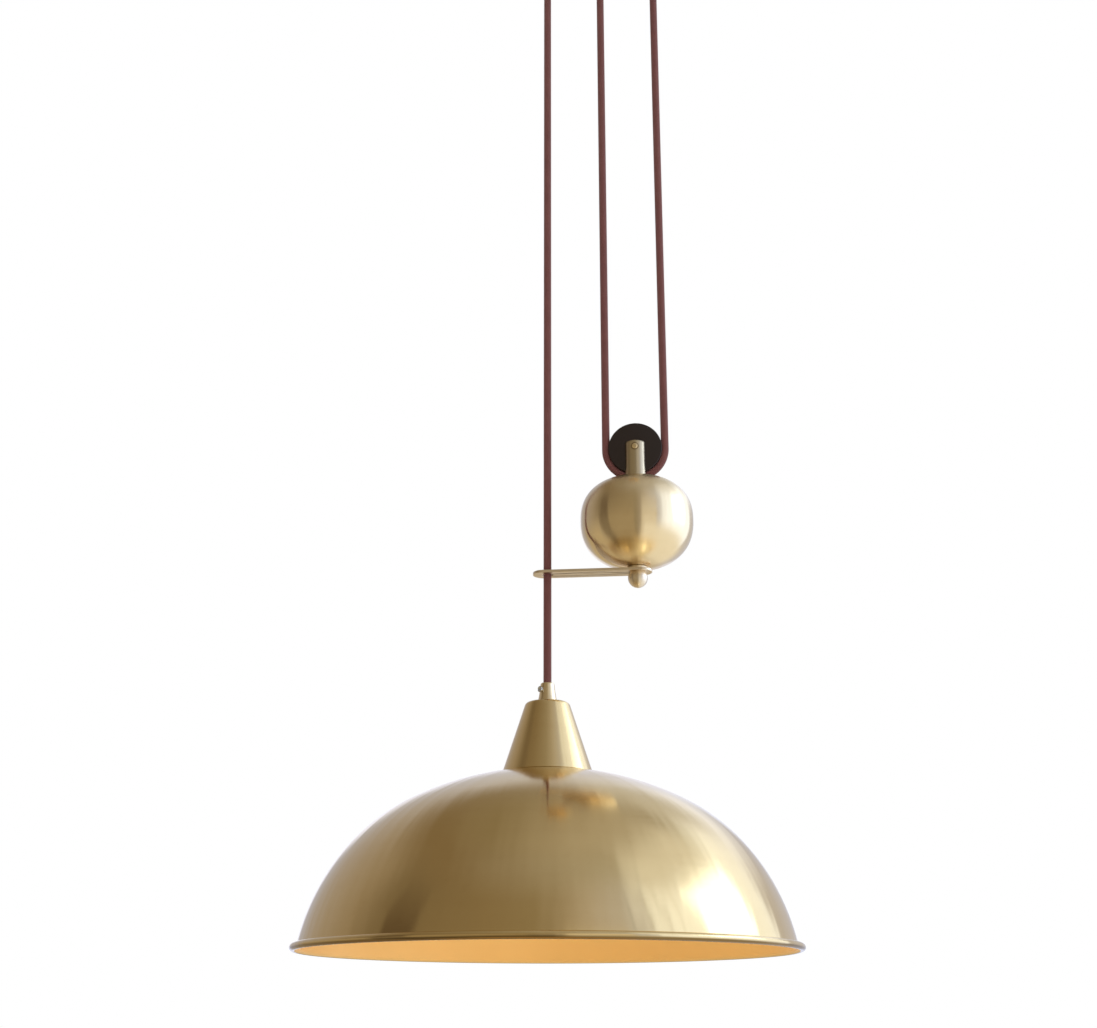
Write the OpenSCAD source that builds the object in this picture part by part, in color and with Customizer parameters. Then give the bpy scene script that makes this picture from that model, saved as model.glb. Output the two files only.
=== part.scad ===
// Rise and fall pendant: a spun brass dome shade on a fabric flex, balanced by a brass
// counterweight that hangs from a grooved sheave. Millimetres, +Z up. The origin is the
// centre of the face that lies against the ceiling. The cords lie in the XZ plane.

/* [Layout] */
// Ceiling to the rim of the shade, with the lamp at its rest height
drop = 1050; // [1000:10:1200]
// Ceiling to the axle of the upper sheave
upper_axle_depth = 85; // [75:1:100]
// Axle of the counterweight's sheave above the shade's rim
lower_axle_rise = 435.5; // [430:0.5:560]
// Radius at which the middle of the flex runs round both sheaves
pitch_r = 26.5; // [24:0.5:34]
// Diameter of the braided flex
flex_d = 7; // [5:0.1:7.2]

/* [Shade] */
// Height of the dome above its rim
dome_h = 148.3; // [140:0.5:160]
// Radius of the crown arc of the dome
crown_r = 259; // [240:1:280]
// Angle from the axis at which the crown arc ends
crown_angle = 26.9; // [22:0.1:32]
// Radius of the shoulder arc of the dome
shoulder_r = 155.5; // [130:1:170]
// Angle from the axis at which the shoulder arc ends
shoulder_angle = 55.7; // [48:0.1:60]
// Radius of the flank arc, which runs down to the rim
flank_r = 174.5; // [165:0.5:220]
// Thickness of the spun sheet
shade_wall = 0.7; // [0.6:0.1:1.2]
// Radius of the hollow bead that the sheet is rolled into at the rim
bead_r = 3; // [2:0.1:4]
// Angle that the sheet turns through in the bead
bead_turn = 308; // [270:1:320]

/* [Cone] */
// Top of the cone above the rim
cone_top = 206.4; // [200:0.1:215]
// Foot of the cone above the rim
cone_foot = 145.7; // [145.6:0.1:149]
// Radius of the cone at its top, before its corner is rounded
cone_top_r = 18.7; // [16:0.1:24]
// Radius of the cone at its foot
cone_foot_r = 38.6; // [34:0.1:42]
// Radius of the rounded corner at the top
cone_corner = 4; // [2:0.1:6]
// Thickness of the cone's sheet
cone_wall = 1; // [0.8:0.1:1.5]

/* [Counterweight] */
// Radius of the body at its widest
weight_r = 50; // [45:0.5:55]
// Widest place of the body above the shade's rim
weight_rise = 367.4; // [360:0.1:380]
// Height of the body above its widest place
weight_upper_h = 39.4; // [38:0.1:39.5]
// Height of the body below its widest place
weight_lower_h = 42.5; // [36:0.1:44]
// Fullness of the upper half: 2 is an ellipse
weight_upper_power = 2.45; // [2:0.05:3]
// Fullness of the lower half: 2 is an ellipse
weight_lower_power = 2.33; // [2:0.05:3]
// Thickness of the body's brass skin
weight_wall = 1.2; // [0.8:0.1:2]
// Radius of the ball under the bar
ball_r = 8.7; // [6:0.1:10]
// Height of the ball's flat top above its middle
ball_top = 5; // [3:0.1:6]

/* [Arm] */
// Width of the flat bar
arm_w = 19.5; // [16:0.5:22]
// Thickness of the bar
arm_t = 2.4; // [1.5:0.1:3]
// Length of the bar past the middle of each hole
arm_end = 12.8; // [11:0.1:15]
// Thickness of the washer between the counterweight and the bar
arm_washer_t = 2.2; // [1:0.1:4]
// Radius of the hole that the flex slides through
arm_hole_r = 5; // [4:0.1:6]

/* [Sheaves and forks] */
// Radius of the sheave's flanges
flange_r = 24; // [23.8:0.1:27]
// Width of a sheave
sheave_w = 10; // [9:0.1:12]
// Radius of the slotted brass rod that makes a fork
fork_r = 10.3; // [9:0.1:12]
// Length of the fork past its axle
fork_tip = 6.5; // [5:0.1:9]
// Radius of the axles
axle_r = 2; // [1.5:0.1:3]

/* [Ceiling rose] */
// Radius of the ceiling cup
cup_r = 72; // [70:1:90]
// Depth of the ceiling cup
cup_h = 28; // [26:1:40]
// Thickness of the cup's sheet
cup_wall = 1; // [0.8:0.1:1.5]
// Distance between the two ceiling screws
screw_spacing = 60; // [50:1:70]
// Length of each slot for a ceiling screw
slot_length = 18; // [12:1:20]
// Width of each slot
slot_w = 5.5; // [4.5:0.1:6]

/* [Lampholder] */
// Inner radius of the screw shell, for an E27 cap
socket_r = 13.3; // [13.2:0.05:13.5]
// Length of the screw shell
socket_l = 24; // [20:1:28]
// Outer radius of the lampholder
holder_r = 19.5; // [18.5:0.1:20]
// Mouth of the lampholder above the rim
holder_mouth = 114; // [110:1:120]

/* [Hidden] */

$fn = 96;
touch = 0.01;          // parts of one solid run this far into each other
running = 0.05;        // radial play of an axle, and of a thread in its nut
flex_gap = 0.3;        // play between the flex and what guides it
steps = 10;            // straight pieces that stand for one arc of an outline

lamp_x = -2 * pitch_r;
upper_x = -pitch_r;
weight_x = pitch_r;
anchor_x = 2 * pitch_r;
flex_r = flex_d / 2;
upper_z = -upper_axle_depth;
lower_z = lower_axle_rise - drop;
wrap_r = pitch_r + flex_r;
groove_r = flex_r + flex_gap;
slot_reach = wrap_r + 0.5;
slot_gap = sheave_w + 2 * flex_gap;

thread_r = 5;          // M10 tube and stud
thread_bore = 3.7;
stud_r = 2;            // M4
stud_y = 50;
nut_h = 6;
nut_flats = 16;
grip_l = 16.9;
grip_foot_r = 9.1;
grip_waist_r = 7.5;
grip_top_r = 6.1;
grip_screw_at = 10.5;
grip_screw_r = 1.5;
grip_z = cone_top + 0.4 - drop;
grip_top_z = grip_z + grip_l;

plate_t = 2.5;
plate_r = 60;
plate_z = -cup_h + cup_wall;
plate_top = plate_z + plate_t;
bar_w = 26;
bar_l = 114;
bar_t = 2.5;
anchor_bottom = -cup_h - grip_l;

weight_z = weight_rise - drop;
weight_bottom = weight_z - weight_lower_h;
core_gap = 0.1;
fork_socket = 48;      // the fork's rod ends this far below its axle
rod_r = 4;
rod_bore = 4.3;
core_bore = 7;         // the tie rod runs freely through the iron
arm_z = weight_bottom - arm_washer_t - arm_t;
ball_z = arm_z - ball_top;

holder_z = holder_mouth - drop;
holder_wall = 1.6;
skirt_l = 44;
cap_l = 30;
ring_gap = 0.1;
shade_hole_r = holder_r + 0.7;
insert_r = holder_r - holder_wall - 0.1;
shell_z = holder_z + 3;
shell_wall = 0.5;
contact_z = shell_z + socket_l + 3;  // roof of the insert's hollow, above the bulb's cap

// ---- outlines ----

function arc(c, r, a0, a1, n = steps) =
    [for (i = [0:n]) let (a = a0 + (a1 - a0) * i / n) c + r * [sin(a), cos(a)]];

// The dome's outline is three arcs, each tangent to the next, and the sheet then rolls
// outwards into the bead, whose lowest point is at height 0. Angles start at the axis.
crown_c = [0, dome_h - crown_r];
shoulder_c = crown_c + (crown_r - shoulder_r) * [sin(crown_angle), cos(crown_angle)];
flank_c = shoulder_c + (shoulder_r - flank_r) * [sin(shoulder_angle), cos(shoulder_angle)];
bead_reach = flank_r - shade_wall + bead_r;
flank_angle = acos((bead_r - flank_c[1]) / bead_reach);
bead_c = flank_c + bead_reach * [sin(flank_angle), cos(flank_angle)];

function dome_line(inset) = concat(
    arc(crown_c, crown_r - inset, asin(shade_hole_r / crown_r), crown_angle),
    arc(shoulder_c, shoulder_r - inset, crown_angle, shoulder_angle),
    arc(flank_c, flank_r - inset, shoulder_angle, flank_angle),
    arc(bead_c, bead_r - shade_wall + inset, flank_angle - 180, flank_angle - 180 - bead_turn,
        2 * steps));

function backwards(list) = [for (i = [len(list) - 1:-1:0]) list[i]];

// A quarter of a superellipse, from its widest place to where its radius is r_end
function bulge(a, b, power, r_end, n = 2 * steps) =
    let (t_end = acos(pow(r_end / a, power / 2)))
    [for (i = [0:n]) let (t = t_end * i / n)
        [a * pow(cos(t), 2 / power), b * pow(sin(t), 2 / power)]];

function flipped(list) = [for (p = list) [p[0], -p[1]]];

module skin_half(height, power, hole_r) {
    outer = bulge(weight_r, height, power, hole_r);
    inner = bulge(weight_r - weight_wall, height - weight_wall, power, hole_r);
    rotate_extrude() polygon(concat(outer, backwards(inner)));
}

// ---- shapes used more than once ----

module hex_nut(flats, height, bore) {
    difference() {
        cylinder(r = flats / sqrt(3), h = height, $fn = 6);
        translate([0, 0, -1]) cylinder(r = bore, h = height + 2);
    }
}

module tube(r, bore, length) {
    difference() {
        cylinder(r = r, h = length);
        translate([0, 0, -1]) cylinder(r = bore, h = length + 2);
    }
}

// A brass cord grip. It stands on its flared foot and the flex leaves at its rounded top.
module cord_grip() {
    corner = 2;
    outline = concat(
        [[0, 0], [grip_foot_r, 0], [grip_foot_r, 0.6], [grip_foot_r - 0.7, 1.7],
            [grip_waist_r, 5]],
        arc([grip_top_r - corner, grip_l - corner], corner, 90, 0, steps / 2),
        [[0, grip_l]]);
    difference() {
        rotate_extrude() polygon(outline);
        translate([0, 0, -1]) cylinder(r = thread_r + running, h = 8);
        cylinder(r = flex_r + 0.2, h = grip_l + 1);
        screw_side() cylinder(r = grip_screw_r + running, h = 20);
    }
}

// Where the grip's clamping screw goes in: from the front left, square to the flex
module screw_side() {
    translate([0, 0, grip_screw_at]) rotate([0, 0, -135]) rotate([0, 90, 0]) children();
}

module grip_screw() {
    head_r = 2.6;
    screw_side() difference() {
        union() {
            translate([0, 0, flex_r + 0.1]) cylinder(r = grip_screw_r, h = 4.4);
            translate([0, 0, 7.4]) cylinder(r = head_r, h = 1.5);
        }
        translate([-0.4, -head_r - 1, 8.3]) cube([0.8, 2 * head_r + 2, 1]);
    }
}

// A slotted rod that holds a sheave. The axle is at the origin and the tip points up.
module fork(below) {
    corner = 2.5;
    outline = concat([[0, -below], [fork_r, -below]],
        arc([fork_r - corner, fork_tip - corner], corner, 90, 0, steps / 2),
        [[0, fork_tip]]);
    difference() {
        rotate_extrude() polygon(outline);
        translate([-fork_r - 1, -slot_gap / 2, -slot_reach])
            cube([2 * fork_r + 2, slot_gap, slot_reach + fork_tip + 1]);
        rotate([90, 0, 0]) cylinder(r = axle_r, h = 2 * fork_r + 2, center = true);
    }
}

// The axle is riveted: each end swells into a low head on the fork's cheek.
module axle() {
    head_r = axle_r + 0.6;
    rotate([90, 0, 0]) {
        cylinder(r = axle_r, h = 2 * fork_r + 0.4, center = true);
        for (side = [-1, 1])
            translate([0, 0, side * (fork_r + 0.25)])
                cylinder(r = head_r, h = 0.5, center = true);
    }
}

// A plain disc with a round groove for the flex
module sheave() {
    corner = 0.6;
    half = sheave_w / 2;
    outline = [[axle_r + running, -half], [flange_r - corner, -half],
        [flange_r, corner - half], [flange_r, half - corner], [flange_r - corner, half],
        [axle_r + running, half]];
    rotate([90, 0, 0]) rotate_extrude() difference() {
        polygon(outline);
        translate([pitch_r, 0]) circle(r = groove_r);
    }
}

// Half a turn of flex round a sheave, over its top
module flex_wrap() {
    rotate([90, 0, 0]) rotate_extrude(angle = 180) translate([pitch_r, 0]) circle(r = flex_r);
}

module flex_between(z_low, z_high) {
    translate([0, 0, z_low]) cylinder(r = flex_r, h = z_high - z_low);
}

// ---- wires: a round tube along a smooth curve through four control points ----

core_r = 1.1;
core_sides = 8;
core_rings = 14;
core_side_vector = [0.31, 0.94, 0.13];

function bezier(p, t) = pow(1 - t, 3) * p[0] + 3 * t * pow(1 - t, 2) * p[1]
    + 3 * t * t * (1 - t) * p[2] + t * t * t * p[3];
function slope(p, t) = 3 * pow(1 - t, 2) * (p[1] - p[0]) + 6 * t * (1 - t) * (p[2] - p[1])
    + 3 * t * t * (p[3] - p[2]);
function unit(v) = v / norm(v);

module wire(p) {
    rings = [for (i = [0:core_rings]) let (
        t = i / core_rings,
        along = unit(slope(p, t)),
        u = unit(cross(along, core_side_vector)),
        v = cross(along, u))
        [for (k = [0:core_sides - 1]) let (a = 360 * k / core_sides)
            bezier(p, t) + core_r * (cos(a) * u + sin(a) * v)]];
    points = [for (ring = rings) for (q = ring) q];
    last = core_rings * core_sides;
    walls = [for (i = [0:core_rings - 1]) for (k = [0:core_sides - 1])
        let (a = i * core_sides + k, b = i * core_sides + (k + 1) % core_sides)
        for (f = [[a, b, b + core_sides], [a, b + core_sides, a + core_sides]]) f];
    first_end = [for (k = [1:core_sides - 2]) [0, k + 1, k]];
    last_end = [for (k = [1:core_sides - 2]) [last, last + k, last + k + 1]];
    polyhedron(points = points, faces = concat(walls, first_end, last_end));
}

// ---- ceiling ----

module ceiling_bar() {
    color("silver") difference() {
        translate([-bar_w / 2, -bar_l / 2, -bar_t]) cube([bar_w, bar_l, bar_t]);
        for (side = [-1, 1]) {
            translate([0, side * screw_spacing / 2, 0]) ceiling_slot();
            translate([0, side * stud_y, -bar_t - 1]) cylinder(r = stud_r, h = bar_t + 2);
        }
        translate([bar_w / 2 - 5, 0, -bar_t - 1]) cylinder(r = 1.6, h = bar_t + 2);
    }
}

module ceiling_slot() {
    straight = slot_length - slot_w;
    translate([-slot_w / 2, -straight / 2, -bar_t - 1]) cube([slot_w, straight, bar_t + 2]);
    for (side = [-1, 1])
        translate([0, side * straight / 2, -bar_t - 1]) cylinder(d = slot_w, h = bar_t + 2);
}

module at_studs() {
    for (side = [-1, 1]) translate([0, side * stud_y, 0]) children();
}

module canopy_studs() {
    color("silver") at_studs()
        translate([0, 0, -cup_h - 4]) cylinder(r = stud_r - running, h = cup_h + 3.8);
}

module stud_lock_nuts() {
    color("silver") at_studs() translate([0, 0, -bar_t - 3.2]) hex_nut(7, 3.2, stud_r);
}

module canopy_cap_nuts() {
    nut_r = 5.5;
    color("goldenrod") at_studs() translate([0, 0, -cup_h]) difference() {
        union() {
            translate([0, 0, -4]) cylinder(r = nut_r, h = 4);
            translate([0, 0, -4]) sphere(r = nut_r);
        }
        translate([0, 0, -4.5]) cylinder(r = stud_r, h = 5);
        translate([0, 0, 0]) cylinder(r = nut_r + 1, h = nut_r + 1);
    }
}

module ceiling_cup() {
    corner = 9;
    turned = 1.5;
    outline = concat(
        [[cup_r + turned, 0], [cup_r + turned, -cup_wall], [cup_r, -cup_wall]],
        arc([cup_r - corner, corner - cup_h], corner, 90, 180),
        [[0, -cup_h], [0, cup_wall - cup_h]],
        arc([cup_r - corner, corner - cup_h], corner - cup_wall, 180, 90),
        [[cup_r - cup_wall, 0]]);
    color("goldenrod") difference() {
        rotate_extrude() polygon(outline);
        hanging_holes();
    }
}

// Holes through the cup and the plate for the fork, the anchor and the two studs
module hanging_holes() {
    translate([upper_x, 0, -cup_h - 1]) cylinder(r = thread_r + 0.2, h = 8);
    translate([anchor_x, 0, -cup_h - 1]) cylinder(r = thread_r + 0.2, h = 8);
    at_studs() translate([0, 0, -cup_h - 1]) cylinder(r = stud_r + 0.2, h = 8);
}

module load_plate() {
    color("silver") difference() {
        translate([0, 0, plate_z]) cylinder(r = plate_r, h = plate_t);
        hanging_holes();
        translate([-8, -34, plate_z - 1]) cylinder(r = stud_r, h = plate_t + 2);
    }
}

block_at = [17, 30, plate_top];
block_size = [36, 17, 12];
block_ways = [-11.5, 0, 11.5];

module terminal_block() {
    color("white") translate(block_at) difference() {
        union() {
            translate([-block_size[0] / 2, -block_size[1] / 2, 0])
                cube([block_size[0], block_size[1], block_size[2] - 3]);
            for (x = block_ways)
                translate([x - 4.5, -block_size[1] / 2, 0]) cube([9, block_size[1], block_size[2]]);
        }
        for (x = block_ways) {
            translate([x, 0, 4.5]) rotate([90, 0, 0]) cylinder(r = 1.8, h = 30, center = true);
            for (side = [-1, 1])
                translate([x, side * 5, 4.5]) cylinder(r = 1.8, h = block_size[2]);
        }
    }
}

module terminal_screws() {
    color("silver") translate(block_at) for (x = block_ways) for (side = [-1, 1])
        translate([x, side * 5, 6.5]) difference() {
            cylinder(r = 1.7, h = 4.5);
            translate([-0.3, -3, 3.7]) cube([0.6, 6, 1]);
        }
}

module earth_screw() {
    color("silver") translate([-8, -34, plate_top]) difference() {
        union() {
            translate([0, 0, -plate_t]) cylinder(r = stud_r - running, h = plate_t + 0.5);
            cylinder(r = 4.2, h = 0.8);
            translate([-2.4, 3, 0]) cube([4.8, 9, 0.8]);
            translate([0, 0, 0.8 - touch]) cylinder(r = 3.6, h = 2.4);
        }
        translate([-0.4, -5, 2.4]) cube([0.8, 10, 2]);
    }
}

module upper_fork() {
    above = upper_axle_depth - cup_h;
    foot_r = 13;
    color("goldenrod") translate([upper_x, 0, upper_z]) {
        rotate([180, 0, 0]) fork(above - 1);
        translate([0, 0, above - 2.5]) cylinder(r = foot_r, h = 2.5);
        translate([0, 0, above - touch]) cylinder(r = thread_r, h = cup_h - 12);
    }
}

module upper_fork_washer() {
    color("silver") translate([upper_x, 0, plate_top]) tube(10, thread_r + 0.2, 1.5);
}

module upper_fork_nut() {
    color("silver") translate([upper_x, 0, plate_top + 1.5])
        hex_nut(nut_flats, nut_h, thread_r + running);
}

module upper_axle() {
    color("goldenrod") translate([upper_x, 0, upper_z]) axle();
}

module upper_sheave() {
    color([0.12, 0.1, 0.1]) translate([upper_x, 0, upper_z]) sheave();
}

module anchor_grip() {
    color("goldenrod") translate([anchor_x, 0, -cup_h]) mirror([0, 0, 1]) cord_grip();
}

module anchor_grip_tube() {
    color("silver") translate([anchor_x, 0, -cup_h - 6.5]) tube(thread_r, thread_bore, 16);
}

module anchor_grip_nut() {
    color("silver") translate([anchor_x, 0, plate_top])
        hex_nut(14, 4, thread_r + running);
}

module anchor_grip_screw() {
    color("silver") translate([anchor_x, 0, -cup_h]) mirror([0, 0, 1]) grip_screw();
}

module flex_anchor_tail() {
    color("maroon") translate([anchor_x, 0, 0]) flex_between(anchor_bottom, -16);
}

module ceiling_flex_cores() {
    start = [anchor_x, 0, -16];
    color("saddlebrown") for (k = [0:2]) {
        from = start + 1.7 * [cos(120 * k + 60), sin(120 * k + 60), 0];
        to = block_at + [block_ways[2 - k], -block_size[1] / 2, 4.5];
        wire([from, from + [0, 0, 14 + 4 * k], to + [10 + 4 * k, -12 - 6 * k, 3 * k], to]);
    }
}

module flex_upper_wrap() {
    color("maroon") translate([upper_x, 0, upper_z]) flex_wrap();
}

module flex_anchor_run() {
    color("maroon") translate([anchor_x, 0, 0]) flex_between(lower_z, anchor_bottom);
}

module flex_weight_run() {
    color("maroon") flex_between(lower_z, upper_z);
}

module flex_lower_wrap() {
    color("maroon") translate([weight_x, 0, lower_z]) rotate([180, 0, 0]) flex_wrap();
}

// ---- counterweight ----

module lower_sheave() {
    color([0.12, 0.1, 0.1]) translate([weight_x, 0, lower_z]) sheave();
}

module lower_axle() {
    color("goldenrod") translate([weight_x, 0, lower_z]) axle();
}

module lower_fork() {
    color("goldenrod") translate([weight_x, 0, lower_z]) difference() {
        fork(fork_socket);
        translate([0, 0, -fork_socket - 1]) cylinder(r = rod_r + running, h = 13);
    }
}

module weight_shell_upper() {
    color("goldenrod") translate([weight_x, 0, weight_z])
        skin_half(weight_upper_h, weight_upper_power, fork_r + running);
}

module weight_shell_lower() {
    color("goldenrod") translate([weight_x, 0, weight_z]) mirror([0, 0, 1])
        skin_half(weight_lower_h, weight_lower_power, rod_bore);
}

module weight_core() {
    inset = weight_wall + core_gap;
    core_r_max = weight_r - inset;
    upper = bulge(core_r_max, weight_upper_h - inset, weight_upper_power, fork_r + running);
    lower = bulge(core_r_max, weight_lower_h - inset, weight_lower_power, core_bore);
    socket_z = lower_z - fork_socket - weight_z;
    outline = concat(backwards(flipped(lower)), [for (i = [1:len(upper) - 1]) upper[i]],
        [[fork_r + running, socket_z], [core_bore, socket_z]]);
    color("dimgray") translate([weight_x, 0, weight_z]) rotate_extrude() polygon(outline);
}

module tie_rod() {
    top = lower_z - fork_socket + 11;
    bottom = ball_z - 3;
    color("silver") translate([weight_x, 0, bottom]) cylinder(r = rod_r, h = top - bottom);
}

module arm_washer() {
    color("goldenrod") translate([weight_x, 0, arm_z + arm_t])
        tube(9, rod_r + 0.1, arm_washer_t);
}

// A flat bar with round ends: the flex slides through one hole and the rod fills the other
module spreader_arm() {
    left = lamp_x - arm_end + arm_w / 2;
    right = weight_x + arm_end - arm_w / 2;
    color("goldenrod") translate([0, 0, arm_z]) linear_extrude(arm_t) difference() {
        union() {
            translate([left, 0]) circle(d = arm_w);
            translate([right, 0]) circle(d = arm_w);
            translate([left, -arm_w / 2]) square([right - left, arm_w]);
        }
        translate([lamp_x, 0]) circle(r = arm_hole_r);
        translate([weight_x, 0]) circle(r = rod_r + 0.1);
    }
}

module finial_ball() {
    color("goldenrod") translate([weight_x, 0, ball_z]) difference() {
        sphere(r = ball_r);
        translate([-ball_r, -ball_r, ball_top]) cube(2 * ball_r);
        translate([0, 0, -4]) cylinder(r = rod_r + running, h = ball_r + 5);
    }
}

// ---- lamp ----

module flex_lamp_run() {
    color("maroon") translate([lamp_x, 0, 0]) flex_between(grip_top_z, upper_z);
}

module flex_lamp_tail() {
    color("maroon") translate([lamp_x, 0, 0]) flex_between(holder_z + skirt_l + 18, grip_top_z);
}

module lamp_flex_cores() {
    start = [lamp_x, 0, holder_z + skirt_l + 18];
    color("saddlebrown") for (k = [0:2]) {
        turn = 120 * k + 30;
        out = [cos(turn), sin(turn), 0];
        from = start + 1.7 * out;
        to = [lamp_x, 0, holder_z + skirt_l + 3.4] + 10 * out;
        wire([from, from - [0, 0, 6], to + [0, 0, 7], to]);
    }
}

module lamp_grip() {
    color("goldenrod") translate([lamp_x, 0, grip_z]) cord_grip();
}

module lamp_grip_screw() {
    color("silver") translate([lamp_x, 0, grip_z]) grip_screw();
}

module threaded_tube() {
    color("silver") translate([lamp_x, 0, holder_z + skirt_l + cap_l - 6])
        tube(thread_r, thread_bore, grip_z + 6.5 - (holder_z + skirt_l + cap_l - 6));
}

module tube_nut() {
    color("silver") translate([lamp_x, 0, cone_top - cone_wall - 3.4 - drop])
        hex_nut(14, 3.3, thread_r + running);
}

// The spun cone: a flat top with a rounded corner, and a straight side down to the dome
module shade_cone() {
    side = atan2(cone_top - cone_foot, cone_foot_r - cone_top_r);
    turn = 90 - side;
    corner_c = [cone_top_r - cone_corner * tan(side / 2), cone_top - cone_corner];
    foot_in = cone_wall / sin(side);
    outline = concat(
        [[thread_r + 0.2, cone_top]],
        arc(corner_c, cone_corner, 0, 90 - turn),
        [[cone_foot_r, cone_foot], [cone_foot_r - foot_in, cone_foot]],
        arc(corner_c, cone_corner - cone_wall, 90 - turn, 0),
        [[thread_r + 0.2, cone_top - cone_wall]]);
    color("goldenrod") translate([lamp_x, 0, -drop]) rotate_extrude() polygon(outline);
}

module shade() {
    color("goldenrod") translate([lamp_x, 0, -drop])
        rotate_extrude() polygon(concat(dome_line(0), backwards(dome_line(shade_wall))));
}

module threaded_ring(r, height) {
    notches = 12;
    difference() {
        tube(r, holder_r + ring_gap, height);
        for (k = [0:notches - 1])
            rotate([0, 0, 360 * k / notches]) translate([r + 0.6, 0, -1])
                cylinder(r = 1.6, h = height + 2);
    }
}

module shade_ring_upper() {
    color("goldenrod") translate([lamp_x, 0, dome_h - 0.7 - drop]) threaded_ring(25.5, 3);
}

module shade_ring_lower() {
    ring_h = 3.5;
    color("goldenrod") translate([lamp_x, 0, dome_h - shade_wall - 1.7 - ring_h - drop])
        threaded_ring(27.5, ring_h);
}

module lampholder_cap() {
    boss_r = 8;
    boss_l = 8;
    round_r = 9;
    inner = holder_r - holder_wall;
    outline = concat(
        [[holder_r, 0]],
        arc([holder_r - round_r, cap_l - boss_l - round_r], round_r, 90, 0),
        [[boss_r, cap_l - boss_l], [boss_r, cap_l], [thread_r + running, cap_l],
            [thread_r + running, cap_l - boss_l - holder_wall]],
        arc([holder_r - round_r, cap_l - boss_l - round_r], round_r - holder_wall, 0, 90),
        [[inner, 0]]);
    color("goldenrod") translate([lamp_x, 0, holder_z + skirt_l]) rotate_extrude() polygon(outline);
}

// The skirt carries the outer thread that the two shade rings run on.
module lampholder_skirt() {
    depth = 0.5;
    crest = 1;
    thread_low = 20;
    thread_high = 40;
    crests = [for (z = [thread_low:2 * crest:thread_high - 2 * crest])
        for (p = [[holder_r, z], [holder_r, z + crest], [holder_r - depth, z + 1.2 * crest],
            [holder_r - depth, z + 1.8 * crest]]) p];
    outline = concat(
        [[holder_r - holder_wall, 0], [holder_r - 0.4, 0], [holder_r, 0.6]],
        [[holder_r, 2], [holder_r - depth, 2.5], [holder_r - depth, thread_low - 0.5]],
        crests,
        [[holder_r, thread_high], [holder_r, skirt_l], [holder_r - holder_wall, skirt_l]]);
    color("goldenrod") translate([lamp_x, 0, holder_z]) rotate_extrude() polygon(outline);
}

module lampholder_insert() {
    top_z = holder_z + skirt_l - 1;
    color("ivory") translate([lamp_x, 0, 0]) difference() {
        translate([0, 0, holder_z + 1]) cylinder(r = insert_r, h = top_z - holder_z - 1);
        translate([0, 0, holder_z]) cylinder(r = socket_r + shell_wall + 0.1, h = contact_z - holder_z);
        for (turn = [30, 150, 270])
            rotate([0, 0, turn]) translate([10, 0, top_z - 6]) cylinder(r = 1.6, h = 7);
    }
}

module lampholder_terminals() {
    base_z = holder_z + skirt_l - 1;
    color("silver") translate([lamp_x, 0, base_z]) for (turn = [30, 150, 270])
        rotate([0, 0, turn]) translate([10, 0, 0]) difference() {
            union() {
                translate([-3, -3, 0]) cube([6, 6, 3]);
                translate([0, 0, -5.5]) cylinder(r = 1.5, h = 6);
            }
            translate([-0.4, -4, 2.4]) cube([0.8, 8, 1]);
        }
}

module socket_shell() {
    color("silver") translate([lamp_x, 0, shell_z])
        tube(socket_r + shell_wall, socket_r, socket_l);
}

module centre_contact() {
    color("gold") translate([lamp_x, 0, contact_z]) {
        translate([-8, -2.5, -0.6]) cube([14, 5, 0.6]);
        translate([0, 0, -2.2]) cylinder(r = 3, h = 1.6 + touch);
        translate([-6, 0, -1.4]) cylinder(r = 1.8, h = 0.8 + touch);
    }
}

ceiling_bar();
canopy_studs();
stud_lock_nuts();
canopy_cap_nuts();
ceiling_cup();
load_plate();
terminal_block();
terminal_screws();
earth_screw();
upper_fork();
upper_fork_washer();
upper_fork_nut();
upper_axle();
upper_sheave();
anchor_grip();
anchor_grip_tube();
anchor_grip_nut();
anchor_grip_screw();
flex_anchor_tail();
ceiling_flex_cores();
flex_upper_wrap();
flex_anchor_run();
flex_weight_run();
flex_lower_wrap();
lower_sheave();
lower_axle();
lower_fork();
weight_shell_upper();
weight_shell_lower();
weight_core();
tie_rod();
arm_washer();
spreader_arm();
finial_ball();
flex_lamp_run();
flex_lamp_tail();
lamp_flex_cores();
lamp_grip();
lamp_grip_screw();
threaded_tube();
tube_nut();
shade_cone();
shade();
shade_ring_upper();
shade_ring_lower();
lampholder_cap();
lampholder_skirt();
lampholder_insert();
lampholder_terminals();
socket_shell();
centre_contact();
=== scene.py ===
"""Looks of a rise and fall pendant, built round its packed CAD frame.

The pendant is a spun brass dome on a braided flex. The flex runs over a sheave under the
ceiling cup and round a second sheave on a round brass counterweight, whose flat arm guides
the lamp's own run of flex. All sizes are metres in the frame of the CAD model.
"""

import math

import bmesh
import bpy
from mathutils import Matrix, Vector


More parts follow.
